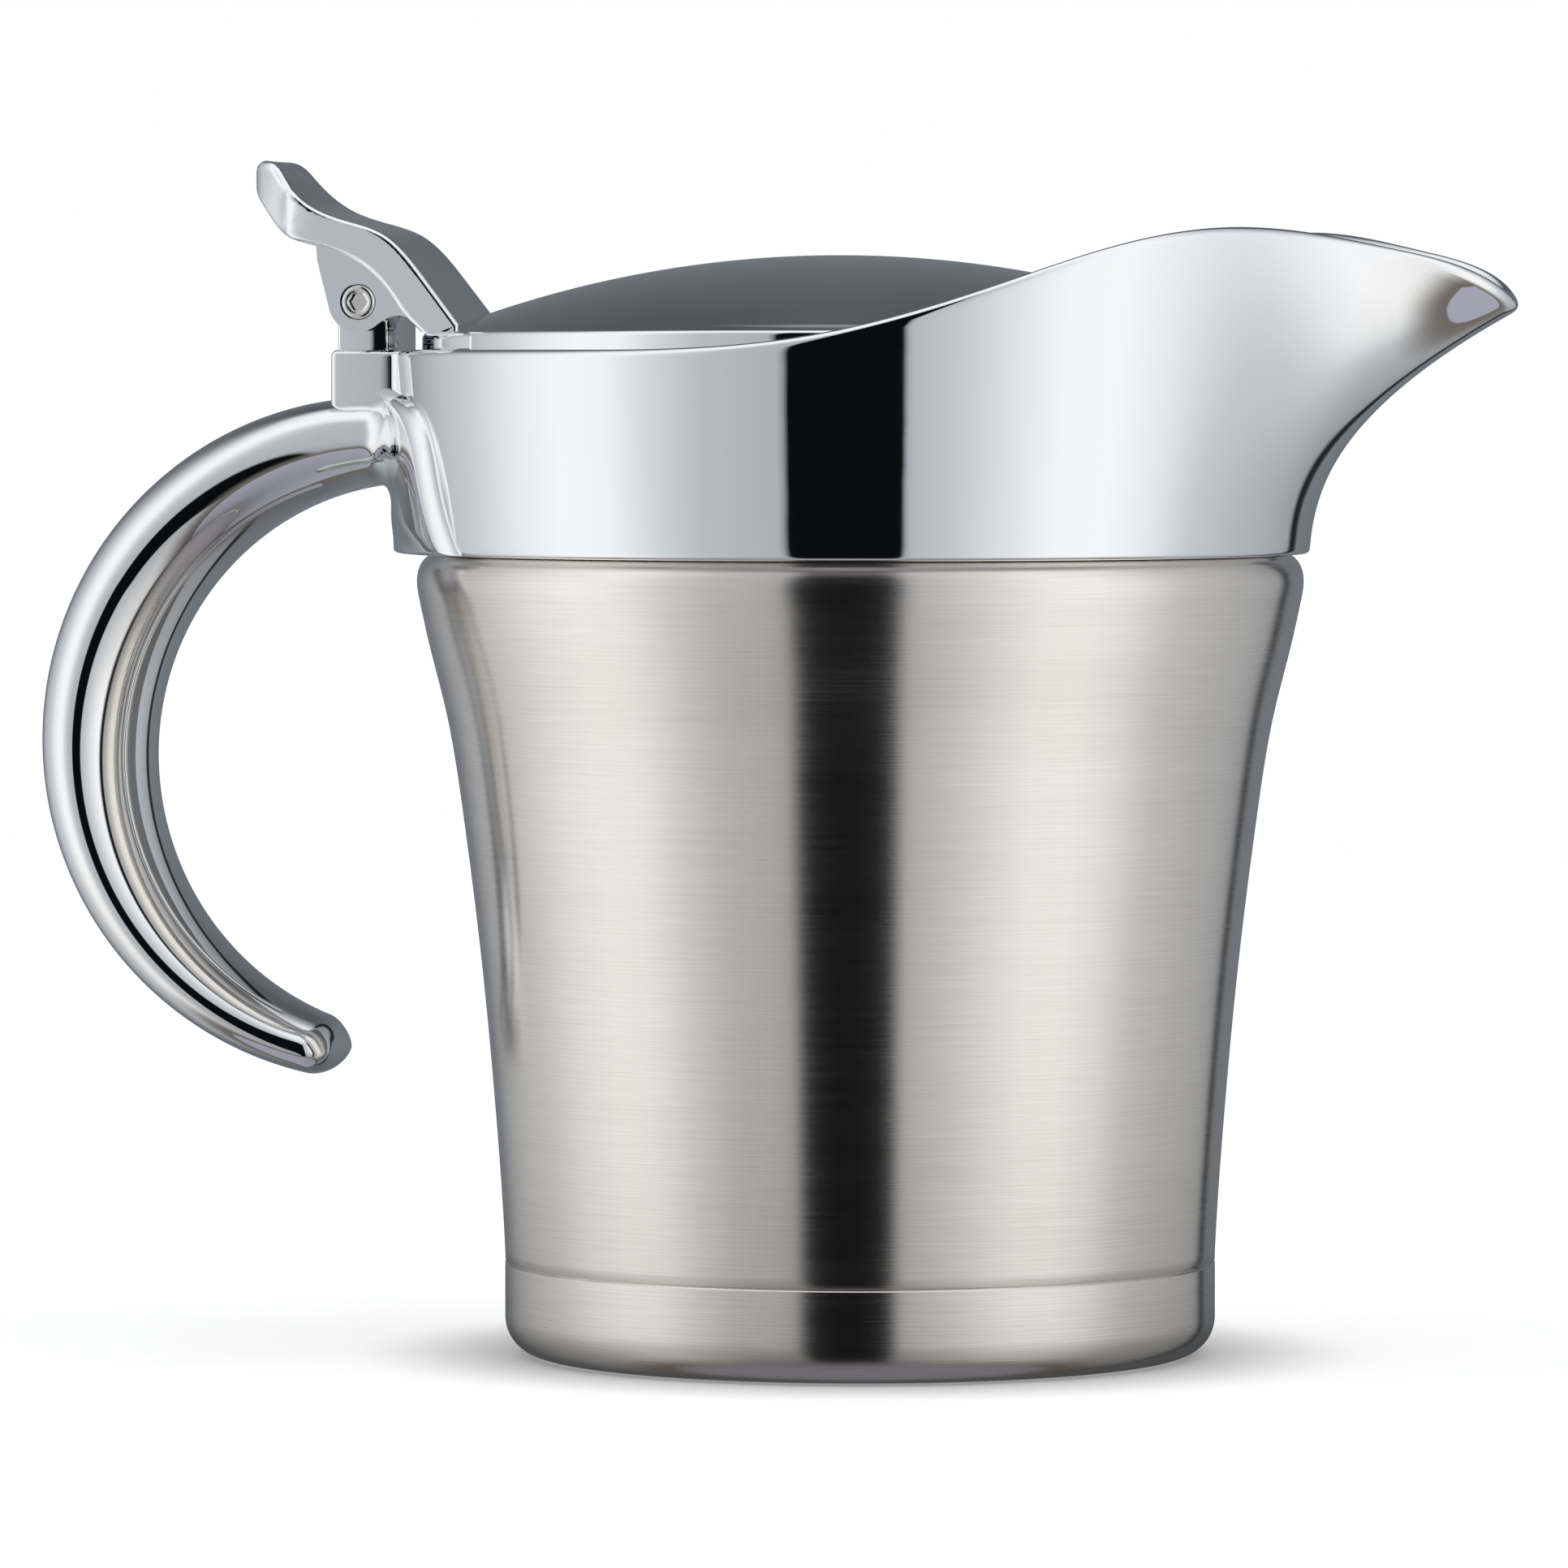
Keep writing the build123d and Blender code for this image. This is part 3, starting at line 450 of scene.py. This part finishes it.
def hook_ring(angle, inset=0.0):
    """The hook's rounded section at an angle, from the middle of its outer side round and back."""
    thick = HOOK_RADIUS - grip_distance(angle) - 2 * inset
    width = hook_width(angle) - inset
    flat = 0.6 * exp(-((angle - HOOK_START) / 24) ** 2)
    right = [(width * side, thick * inward * (1 - flat * max(1 - inward / WIDEST, 0)))
             for side, inward in SECTION]
    left = [(-side, inward) for side, inward in reversed(right[1:-1])]
    loop = spline(right + left, SPAN, closed=True)
    reach = HOOK_RADIUS - inset - loop[:, 1]
    across, up = cos(radians(angle)), sin(radians(angle))
    return np.stack([HOOK_CENTRE[0] + reach * across, loop[:, 0], HOOK_CENTRE[1] + reach * up], 1)


def hook_end_rings():
    """Rings that round off the hook's lower end."""
    rings = []
    for step in range(1, 15):
        share = sin(radians(90 * step / 14))
        inset = END_ROUND * (1 - sqrt(max(1 - share ** 2, 0)))
        rings.append(hook_ring(HOOK_END - END_TURN * (1 - share), inset))
    return rings


def saddle_arch():
    """Right half of the saddle's outline on the collar, seen from behind, top to bottom corner."""
    return spline([(0, 116.4), (12, 116.05), (22, 115.1), (27.6, 112.6), (30.0, 108.8),
                   (31.0, 104.5), (32.3, 100.4), (34.4, JOINT_HEIGHT)], 12, start=(1, 0))


def root_rings():
    """Rings from the saddle's back, over its rolled edge and up the fillet to the hook's root."""
    middle = 106.2
    root_x = -58.3
    buried = -0.3
    base = hook_ring(HOOK_START)[:, 1:]
    side = np.where(base[:, 0] < 0, -1.0, 1.0)
    angle = np.arctan2(base[:, 1] - middle, np.abs(base[:, 0]))
    arch = saddle_arch()
    arch_angle = np.arctan2(arch[:, 1] - middle, arch[:, 0])[::-1]
    corner = arch_angle[0]
    low = angle < corner
    slope = np.tan(np.minimum(angle, -1e-6))
    arch_y, arch_z = (np.interp(angle, arch_angle, arch[::-1, way]) for way in (0, 1))
    edge_y = np.where(low, (JOINT_HEIGHT - middle) / slope, arch_y)
    edge_z = np.where(low, JOINT_HEIGHT, arch_z)
    edge = np.stack([edge_y * side, edge_z], 1)
    length = np.linalg.norm(edge - base, axis=1)
    flat = np.clip((corner - angle) / radians(6), 0, 1)
    fillet = np.minimum(6.4, 0.42 * length)
    round_off = np.minimum(2.0 - 1.3 * flat, 0.3 * length)

    def spot(along):
        """Places on the way from the hook's root to the saddle's edge, seen from behind."""
        return base + (edge - base) * (along / length)[:, None]

    def reach(places):
        """How far out the collar's wall is at places seen from behind."""
        return np.sqrt(collar_radius(places[:, 1]) ** 2 - places[:, 0] ** 2)

    def ring(places, height):
        """Points at a height over the collar's wall."""
        return np.stack([-reach(places) - height, places[:, 0], places[:, 1]], 1)

    def plate(along):
        """The saddle's thickness, fullest in the middle."""
        return 1.0 + 1.7 * np.exp(-(spot(along)[:, 0] / 15) ** 2)

    rings = []
    start = -root_x - reach(base)
    valley = plate(fillet)
    crest = plate(length - round_off) + 0.75 * (1 - flat)
    for step in range(15):
        turn = radians(90 * step / 14)
        rings.append(ring(spot(fillet * (1 - cos(turn))), start - (start - valley) * sin(turn)))
    for step in range(1, 17):
        share = step / 16
        smooth = share ** 2 * (3 - 2 * share)
        along = fillet + (length - round_off - fillet) * share
        rings.append(ring(spot(along), valley + (crest - valley) * smooth))
    drop = crest * (1 - flat) + 0.7 * flat
    for step in range(1, 13):
        turn = radians(90 * step / 12)
        along = length - round_off * (1 - sin(turn))
        rings.append(ring(spot(along), crest - drop * (1 - cos(turn))))
    rings.append(ring(spot(length), buried))
    centre = np.array([0.0, middle])
    for share in (0.8, 0.6, 0.4, 0.2, 0.02):
        rings.append(ring(centre + (edge - centre) * share, buried))
    return rings[::-1]


def chorded(ring, keep_outer):
    """A ring with its inner or its outer part drawn flat between the two parting lines."""
    draw_in = 0.014
    first, last = PARTING * SPAN, len(ring) - PARTING * SPAN
    flat = ring.copy()
    middle = ring.mean(0)
    for i in (first, last):
        flat[i] = ring[i] + (middle - ring[i]) * draw_in
    if keep_outer:
        order, start, end = list(range(first + 1, last)), first, last
    else:
        order, start, end = [*range(last + 1, len(ring)), *range(first)], last, first
    for step, i in enumerate(order, 1):
        share = step / (len(order) + 1)
        flat[i] = flat[start] * (1 - share) + flat[end] * share
    return flat


def handle_pieces():
    """The outer shell with its saddle, and the flat inner cover, along the same hook."""
    angles = np.linspace(HOOK_START, HOOK_END - END_TURN, 150)
    shell, cover = root_rings(), []
    for before, angle in zip([None, *angles[:-1]], angles):
        ring = hook_ring(angle)
        covered = COVER_START < angle < COVER_END
        was_covered = before is not None and COVER_START < before < COVER_END
        if covered:
            if not was_covered:
                shell.append(ring)
            shell.append(chorded(ring, True))
            cover.append(chorded(ring, False))
        else:
            if was_covered:
                shell.append(hook_ring(before))
            shell.append(ring)
    shell += hook_end_rings()
    return skin(shell), skin(cover)


# Spout collar with its ledge, pedestal and hinge post

RIM_BACK = 120.65
SPOUT_ROOT, SPOUT_TIP = 97.0, 125.9
SPOUT_REACH = 80.3
COLLAR_WALL = 2.6
SHELF = 104.8
SHELF_WALL = 1.8
THROAT_RADIUS = 48.6
COLLAR_GAP = 0.05
PIN_X, PIN_HEIGHT = -59.5, 126.4
POST_RADIUS, POST_HALF_WIDTH = 3.15, 7.5
LID_CENTRE = -2.5


def rim_line():
    """The rim's height along X, seen from the side."""
    level, crest = (1, 0), (50.5, 134.9)
    rise = spline([(-22, RIM_BACK), (5.6, 122.55), (26, 128.45), crest], 40, start=level, end=level)
    fall = spline([crest, (66.2, 132.5), (79.1, 126.5)], 40, start=level, end=(0.75, -1))
    return np.concatenate([[(-100, RIM_BACK)], rise, fall[1:], [(90.0, 112.0)]])


RIM_LINE = rim_line()


def rim_height(x):
    """The rim's height at a place along X."""
    return np.interp(x, RIM_LINE[:, 0], RIM_LINE[:, 1])


def spout_bulge(turn, height):
    """How far the spout stands out of the round wall, at degrees from its middle and a height."""
    share = np.clip((height - SPOUT_ROOT) / (SPOUT_TIP - SPOUT_ROOT), 0, None)
    nose = 2.5 + 23.5 * np.clip(1 - share, 0, None) ** 2
    reach = SPOUT_REACH - collar_radius(SPOUT_TIP)
    away = np.hypot(turn, nose) - nose
    curl = 2.15 - 0.8 * (1 - np.exp(-(away / 6) ** 2)) * np.minimum(share, 1)
    return reach * share ** curl * np.exp(-away / 9.5)


def outer_reach(turn, height):
    """Distance of the collar's outside from the middle axis."""
    return collar_radius(height) + spout_bulge(turn, height)


def inner_reach(turn, height):
    """Distance of the collar's inside from the middle axis."""
    return collar_radius(height) - COLLAR_WALL + spout_bulge(turn, height - 1.3)


def top_of(reach, turns):
    """Where a wall meets the rim line at each angle."""
    low, high = np.full(len(turns), 112.0), np.full(len(turns), 138.0)
    for _ in range(40):
        middle = (low + high) / 2
        above = middle > rim_height(reach(turns, middle) * np.cos(np.radians(turns)))
        high = np.where(above, middle, high)
        low = np.where(above, low, middle)
    return (low + high) / 2


def bent_corner(start, start_way, end, end_way, pull, steps):
    """A rounded corner between two points, leaving along one way and arriving against the other."""
    t = np.linspace(0, 1, steps)[:, None, None]
    a = start + start_way * pull[:, None]
    b = end + end_way * pull[:, None]
    return (1 - t) ** 3 * start + 3 * (1 - t) ** 2 * t * a + 3 * (1 - t) * t ** 2 * b + t ** 3 * end


def rim_corner(reach, turns, size, inset, steps=9):
    """Rows of a wall's rounded top corner, from the wall to the rim's top at an inset."""
    top = top_of(reach, turns)
    lean = (reach(turns, top) - reach(turns, top - 0.5)) / 0.5
    start_z = top - size / np.sqrt(1 + lean ** 2)
    start = np.stack([reach(turns, start_z), start_z], 1)
    up = np.stack([lean, np.ones_like(lean)], 1) / np.sqrt(1 + lean ** 2)[:, None]
    turn_cos = np.cos(np.radians(turns))
    end_r = reach(turns, top) - inset
    end = np.stack([end_r, rim_height(end_r * turn_cos)], 1)
    tip = np.stack([reach(turns, top), top], 1)
    back = (tip - end) / np.linalg.norm(tip - end, axis=1)[:, None]
    return bent_corner(start, up, end, back, 0.58 * size, steps), start_z


def collar_wall():
    """The collar's wall from its skirt over the rim and down to the shelf inside."""
    half = 180 * np.linspace(0, 1, 241) ** 1.8
    turns = np.concatenate([half, -half[-2:0:-1]])
    count = len(turns)
    skirt, foot = 0.6, collar_radius(JOINT_HEIGHT)
    bore = NECK_RADIUS + COLLAR_GAP

    def level(radius, height):
        return np.stack([np.full(count, radius), np.full(count, height)], 1)

    rows = [level(bore, JOINT_HEIGHT), level(foot - skirt, JOINT_HEIGHT)]
    for step in range(1, 6):
        a = radians(18 * step - 90)
        rows.append(level(foot - skirt + skirt * cos(a), JOINT_HEIGHT + skirt + skirt * sin(a)))
    size = 1.05 + 1.15 * np.exp(-(turns / 6) ** 2)
    inner_size = 0.7
    gap = (outer_reach(turns, top_of(outer_reach, turns))
           - inner_reach(turns, top_of(inner_reach, turns)))
    outside, outside_top = rim_corner(outer_reach, turns, size, np.minimum(size, 0.55 * gap))
    inside, inside_top = rim_corner(inner_reach, turns, np.full(count, inner_size),
                                    -np.minimum(inner_size, 0.35 * gap))
    wall_foot = JOINT_HEIGHT + skirt
    for step in range(1, 46):
        height = wall_foot + (outside_top - wall_foot) * (step / 46)
        rows.append(np.stack([outer_reach(turns, height), height], 1))
    rows += list(outside)
    rows += list(inside[::-1])
    for step in range(1, 21):
        height = inside_top + (SHELF - inside_top) * (step / 20)
        rows.append(np.stack([inner_reach(turns, height), height], 1))
    rows += [level(THROAT_RADIUS, SHELF), level(THROAT_RADIUS, SHELF - SHELF_WALL),
             level(bore, SHELF - SHELF_WALL)]
    a = np.radians(turns)
    return looped([np.stack([row[:, 0] * np.cos(a), row[:, 0] * np.sin(a), row[:, 1]], 1)
                   for row in rows])


def lid_ledge():
    """The narrow ledge inside the collar that the lid's seal closes onto."""
    low, high, radius, front, ease = 116.3, 117.9, 46.0, 18.0, 0.2
    edge = collar_radius(low) - COLLAR_WALL / 2
    limit = degrees(np.arccos(front / edge))
    turns = np.radians(np.linspace(limit, 360 - limit, 160))
    across = LID_CENTRE * np.sin(turns)
    inner = LID_CENTRE * np.cos(turns) + np.sqrt(radius ** 2 - across ** 2)
    rings = []
    for a, r in zip(turns, inner):
        section = [(edge, low), (edge, high), (r + ease, high), (r, high - ease), (r, low)]
        rings.append([(reach * cos(a), reach * sin(a), z) for reach, z in section])
    return skin(rings)


def hinge_foot():
    """Pedestal behind the collar, its neck and the post over it."""
    body = rounded(box((-63.1, -9.5, 106.5), (-53.6, 9.5, RIM_BACK)), 0.8)
    reach, low, high = 1.9, 112.5, RIM_BACK - 0.5
    bend = arc((-54.0 - reach, -9.45 - reach), reach, 90, 0, 12)
    inner_x, inner_y = -53.4, -9.0
    back = [(inner_x, bend[-1][1]), (inner_x, inner_y), (bend[0][0], inner_y)]
    coves = []
    for side in (1, -1):
        outline = np.concatenate([bend, back]) * (1, side)
        rings = [np.column_stack([outline, np.full(len(outline), z)]) for z in (low, high)]
        coves.append(skin(rings))
    crown = arc((PIN_X, PIN_HEIGHT), POST_RADIUS, 0, 180, 25)
    foot = [(PIN_X - POST_RADIUS, RIM_BACK - 1.0), (PIN_X + POST_RADIUS, RIM_BACK - 1.0)]
    outline = np.concatenate([foot, crown])
    post = rounded(drawn(outline, -POST_HALF_WIDTH, POST_HALF_WIDTH, 1), 0.45, 4)
    return joined(body, post, *coves)


# Lid dome with its lug under the lever, the hinge pin and its washers

LID_RADIUS = 47.8
LID_LOW, LID_EDGE, LID_TOP = 119.3, 122.9, 132.0
LID_WALL = 1.8
LID_ROUND = 0.6
BRIM_LOW, BRIM_HIGH = 119.8, 122.8


def cap_line(radius, edge, top, count):
    """The domed part's line from its edge to the middle."""
    rise = top - edge
    ball = (radius ** 2 + rise ** 2) / (2 * rise)
    reach = np.linspace(radius, 0, count)
    return np.stack([reach, top - ball + np.sqrt(ball ** 2 - reach ** 2)], 1)


def lid_dome():
    """The lid's thin dome with its straight edge band."""
    cap = cap_line(LID_RADIUS, LID_EDGE, LID_TOP, 70)
    band = [(LID_RADIUS, z) for z in np.linspace(LID_LOW, LID_EDGE - LID_ROUND, 4)]
    edge = arc((LID_RADIUS - LID_ROUND, LID_EDGE - LID_ROUND), LID_ROUND, 8, 82, 7)
    cap = cap[cap[:, 0] < LID_RADIUS - 0.7]
    inner = cap_line(LID_RADIUS - LID_WALL, LID_EDGE - LID_WALL, LID_TOP - LID_WALL, 24)[::-1]
    foot = [(LID_RADIUS - LID_WALL, LID_LOW)]
    return turned(np.concatenate([band, edge, cap, inner, foot]), centre=LID_CENTRE)


def lid_brim():
    """The lug under the lever's foot, with sides that flare into the lid's edge."""
    side = spline([(-50.9, 0), (-50.9, 12.3), (-50.3, 13.6), (-49.0, 16.6), (-47.3, 20.2),
                   (-44.7, 24.3), (-41.3, 28.0)], 6)
    far = side[:0:-1] * (1, -1)
    outline = np.concatenate([far, side, [(-40.0, 26.0), (-40.0, -26.0)]])
    return rounded(drawn(outline, BRIM_LOW, BRIM_HIGH, 2), 0.9, 6)


def pin_rings(rows, turns):
    """Rings about the hinge's axis, from rows of a radius and a place along Y."""
    return [np.stack([PIN_X + r * np.cos(turns), np.full(len(turns), y),
                      PIN_HEIGHT + r * np.sin(turns)], 1) for r, y in rows]


def hinge_pin():
    """The barrel pin: rounded head with its six-sided socket, shaft and the bore of its far end."""
    turns = np.linspace(0, 2 * pi, 96, endpoint=False)
    six = 1.15 * cos(pi / 6) / np.cos(np.mod(turns, pi / 3) - pi / 6)
    face, shank, head, bore, head_round = -10.05, 1.6, 2.15, 0.95, 0.55
    rows = [(six, face + 0.85), (six, face + 0.18), (1.32, face + 0.03), (1.45, face)]
    for turn in range(0, 91, 10):
        a = radians(turn)
        rows.append((shank + head_round * sin(a), face + head_round * (1 - cos(a))))
    rows += [(head, face + 1.0), (shank, face + 1.0), (shank, -face - 1.0), (bore, -face - 1.0),
             (bore, 0.0)]
    return skin(pin_rings(rows, turns))


def hinge_washers():
    """Two thin rings that nearly touch the lever's ears."""
    turns = np.linspace(0, 2 * pi, 64, endpoint=False)
    near, far, bore, edge = 7.6, 8.02, 1.65, 3.0
    plates = []
    for low, high in ((near, far), (-far, -near)):
        rows = [(edge, low), (edge, high), (bore, high), (bore, low), (edge, low)]
        plates.append(skin(pin_rings(rows, turns), caps=False))
    return joined(*plates)


piece("washers", hinge_washers(), washer, "vessel", "washer_plastic", "hinge_washers")
piece("lid", joined(lid_dome(), lid_brim()), chrome, "lid", "mirror_chrome", "lid_dome")
piece("barrel_pin", hinge_pin(), pin, "lid", "pin_steel", "hinge_barrel", crease=50.0)
piece("collar", joined(collar_wall(), lid_ledge(), hinge_foot()), chrome, "vessel", "mirror_chrome",
      "spout_collar", crease=50.0)
piece("outer_wall", outer_shell(), brushed, "vessel", "brushed_steel", "outer_shell")
piece("bottom_cup", base_cup(), brushed, "vessel", "brushed_steel", "base_cup")
handle_outer, handle_inner = handle_pieces()
piece("handle_outer", handle_outer, chrome, "vessel", "mirror_chrome", "handle_shell")
piece("handle_inner", handle_inner, chrome, "vessel", "mirror_chrome", "handle_cover")

# Studio: a pale floor with a painted shadow round the vessel, a sheet of painted shadow seen only
# in reflections, a ring of soft panels with dark gaps between them, and a bright top

VIEW_TURN, VIEW_DROP = 11.0, 2.35

# Painted shadow of the sheet: what it lets through, darkest by the vessel, by share of the way from
# the vessel to the card's edge
PAINTED_SHADOW_TINT = [(0, 0.4), (0.05, 0.58), (0.15, 0.7), (0.35, 0.82), (0.65, 0.93), (1, 1)]

# Brightness round the studio, by degrees from the camera's side
PANELS = [
    (-180, 0.2), (-172, 0.17), (-160, 0.2), (-145, 0.4), (-128, 0.56), (-116, 0.64), (-97, 0.88),
    (-81, 1.0), (-67, 0.95), (-54, 0.72), (-41, 0.54), (-20, 0.46), (-19, 0.004), (10, 0.004),
    (11.5, 0.5), (23, 0.61), (35, 0.78), (50, 0.98), (64, 1.0), (78, 0.86), (92, 0.62),
    (110, 0.50), (128, 0.43), (141, 0.34), (143, 0.02), (147, 0.02), (149, 0.2), (164, 0.18),
    (172, 0.17), (180, 0.2),
]


def cool(value):
    """A light grey as a panel shows it: the darker, the bluer."""
    tint = (0.11 + 0.12 * max(0, 1 - 3 * value)) * (1 - value)
    return (value * (1 - tint * 0.55), value, value * (1 + tint * 0.8))


def build_world():
    """The studio as the metal sees it. The camera itself sees plain white."""
    world = bpy.data.worlds.new("studio")
    bpy.context.scene.world = world
    world.use_nodes = True
    tree = world.node_tree
    tree.nodes.clear()
    output = tree.nodes.new("ShaderNodeOutputWorld")
    way = add(tree, "ShaderNodeTexCoord").outputs["Generated"]
    parts = add(tree, "ShaderNodeSeparateXYZ", {"Vector": way})
    ahead = calc(tree, "MULTIPLY", parts.outputs["Y"], -1.0)
    turn = calc(tree, "MULTIPLY", calc(tree, "ARCTAN2", parts.outputs["X"], ahead), 180 / pi)
    turn = calc(tree, "ADD", turn, -VIEW_TURN)
    turn = calc(tree, "WRAP", turn, 180.0)
    turn.node.inputs[2].default_value = -180.0
    share = span(tree, turn, -180.0, 180.0, 0.0, 1.0)
    wall = ramp(tree, share, [((angle + 180) / 360, cool(value)) for angle, value in PANELS])
    rise = calc(tree, "MULTIPLY", calc(tree, "ARCSINE", parts.outputs["Z"]), 180 / pi)
    behind = span(tree, calc(tree, "ABSOLUTE", turn), 115.0, 150.0, 0.0, 1.0)
    high = span(tree, rise, 2.0, 36.0, 0.0, 0.45)
    top = span(tree, rise, 48.0, 66.0, 0.0, 1.0)
    shade = span(tree, rise, -42.0, -57.0, 0.0, 1.0)
    shade.node.interpolation_type = "SMOOTHSTEP"
    below = span(tree, rise, -58.0, -57.6, 1.0, 0.0)
    pattern = mix(tree, calc(tree, "MULTIPLY", behind, high), wall, (0.0, 0.0, 0.0))
    pattern = mix(tree, top, pattern, (0.97, 0.98, 1.0))
    pattern = mix(tree, shade, pattern, (0.19, 0.175, 0.165))
    pattern = mix(tree, below, pattern, (0.46, 0.46, 0.54))
    studio = add(tree, "ShaderNodeBackground", {"Color": pattern, "Strength": 1.0})
    plain = add(tree, "ShaderNodeBackground", {"Color": (1, 1, 1, 1), "Strength": 1.0})
    seen = add(tree, "ShaderNodeLightPath").outputs["Is Camera Ray"]
    both = add(tree, "ShaderNodeMixShader", {0: seen, 1: studio.outputs[0], 2: plain.outputs[0]})
    tree.links.new(both.outputs[0], output.inputs["Surface"])


def studio_face(name, points, paint_name):
    """A flat face of the studio, with the empty node tree of its material and its output."""
    mesh = bpy.data.meshes.new(name)
    mesh.from_pydata(points, [], [list(range(len(points)))])
    thing = bpy.data.objects.new(name, mesh)
    bpy.context.scene.collection.objects.link(thing)
    material = bpy.data.materials.new(paint_name)
    material.use_nodes = True
    mesh.materials.append(material)
    tree = material.node_tree
    tree.nodes.clear()
    return thing, tree, tree.nodes.new("ShaderNodeOutputMaterial")


def middle_distance(tree, place):
    """Distance of a place from the middle of the vessel's foot."""
    return add(tree, "ShaderNodeVectorMath", {0: place}, operation="LENGTH").outputs["Value"]


def build_floor():
    """The pale floor, a little brighter for the camera, with a painted shadow close to the vessel
    where that glow fades.
    """
    half = 1.2
    corners = [(-half, -half, 0), (half, -half, 0), (half, half, 0), (-half, half, 0)]
    floor, tree, output = studio_face("floor", corners, "pale_floor")
    place = object_place(tree)
    tone = noise(tree, place, 9.0, 2.0)
    paint = mix(tree, tone, (0.80, 0.80, 0.80), (0.82, 0.82, 0.82))
    # Painted shadow: the camera's extra glow on the floor fades to a fifth close to the vessel's
    # foot.
    close = span(tree, middle_distance(tree, place), 0.038, 0.064, 0.2, 1.0)
    close.node.interpolation_type = "SMOOTHSTEP"
    diffuse = add(tree, "ShaderNodeBsdfDiffuse", {"Color": paint})
    strength = calc(tree, "MULTIPLY", close, 0.55)
    glow = add(tree, "ShaderNodeEmission", {"Color": (1, 1, 1, 1), "Strength": strength})
    seen = add(tree, "ShaderNodeLightPath").outputs["Is Camera Ray"]
    nothing = add(tree, "ShaderNodeEmission", {"Strength": 0.0})
    extra = add(tree, "ShaderNodeMixShader", {0: seen, 1: nothing.outputs[0], 2: glow.outputs[0]})
    total = add(tree, "ShaderNodeAddShader", {0: diffuse.outputs[0], 1: extra.outputs[0]})
    tree.links.new(total.outputs[0], output.inputs["Surface"])
    floor.visible_glossy = False


def build_painted_shadow_card():
    """A painted shadow on the tabletop close to the vessel, on a sheet that only its mirror image
    shows.
    """
    reach, height = 0.27, 0.0002
    turns = np.linspace(0, 2 * pi, 64, endpoint=False)
    points = [(reach * cos(a), reach * sin(a), height) for a in turns]
    card, tree, output = studio_face("painted_shadow_card", points, "painted_shadow_grey")
    # Painted shadow: the sheet lets least through next to the vessel and all of it at its edge.
    share = span(tree, middle_distance(tree, object_place(tree)), 0.042, 0.26, 0.0, 1.0)
    tint = ramp(tree, share, [(spot, (value, value * 0.99, value * 0.97))
                              for spot, value in PAINTED_SHADOW_TINT])
    clear = add(tree, "ShaderNodeBsdfTransparent", {"Color": tint})
    tree.links.new(clear.outputs[0], output.inputs["Surface"])
    card.visible_camera = False
    card.visible_diffuse = False
    card.visible_shadow = False


def build_camera():
    """The camera at the photo's angle."""
    camera = bpy.data.cameras.new("camera")
    camera.sensor_width = 36.0
    camera.lens = 237.5
    camera.clip_start = 0.05
    holder = bpy.data.objects.new("camera", camera)
    holder.location = (0.2280, -1.2209, 0.1195)
    holder.rotation_euler = (radians(90 - VIEW_DROP), 0.0, radians(VIEW_TURN))
    bpy.context.scene.collection.objects.link(holder)
    bpy.context.scene.camera = holder


build_world()
build_floor()
build_painted_shadow_card()
build_camera()
bpy.context.scene.view_settings.view_transform = "Standard"
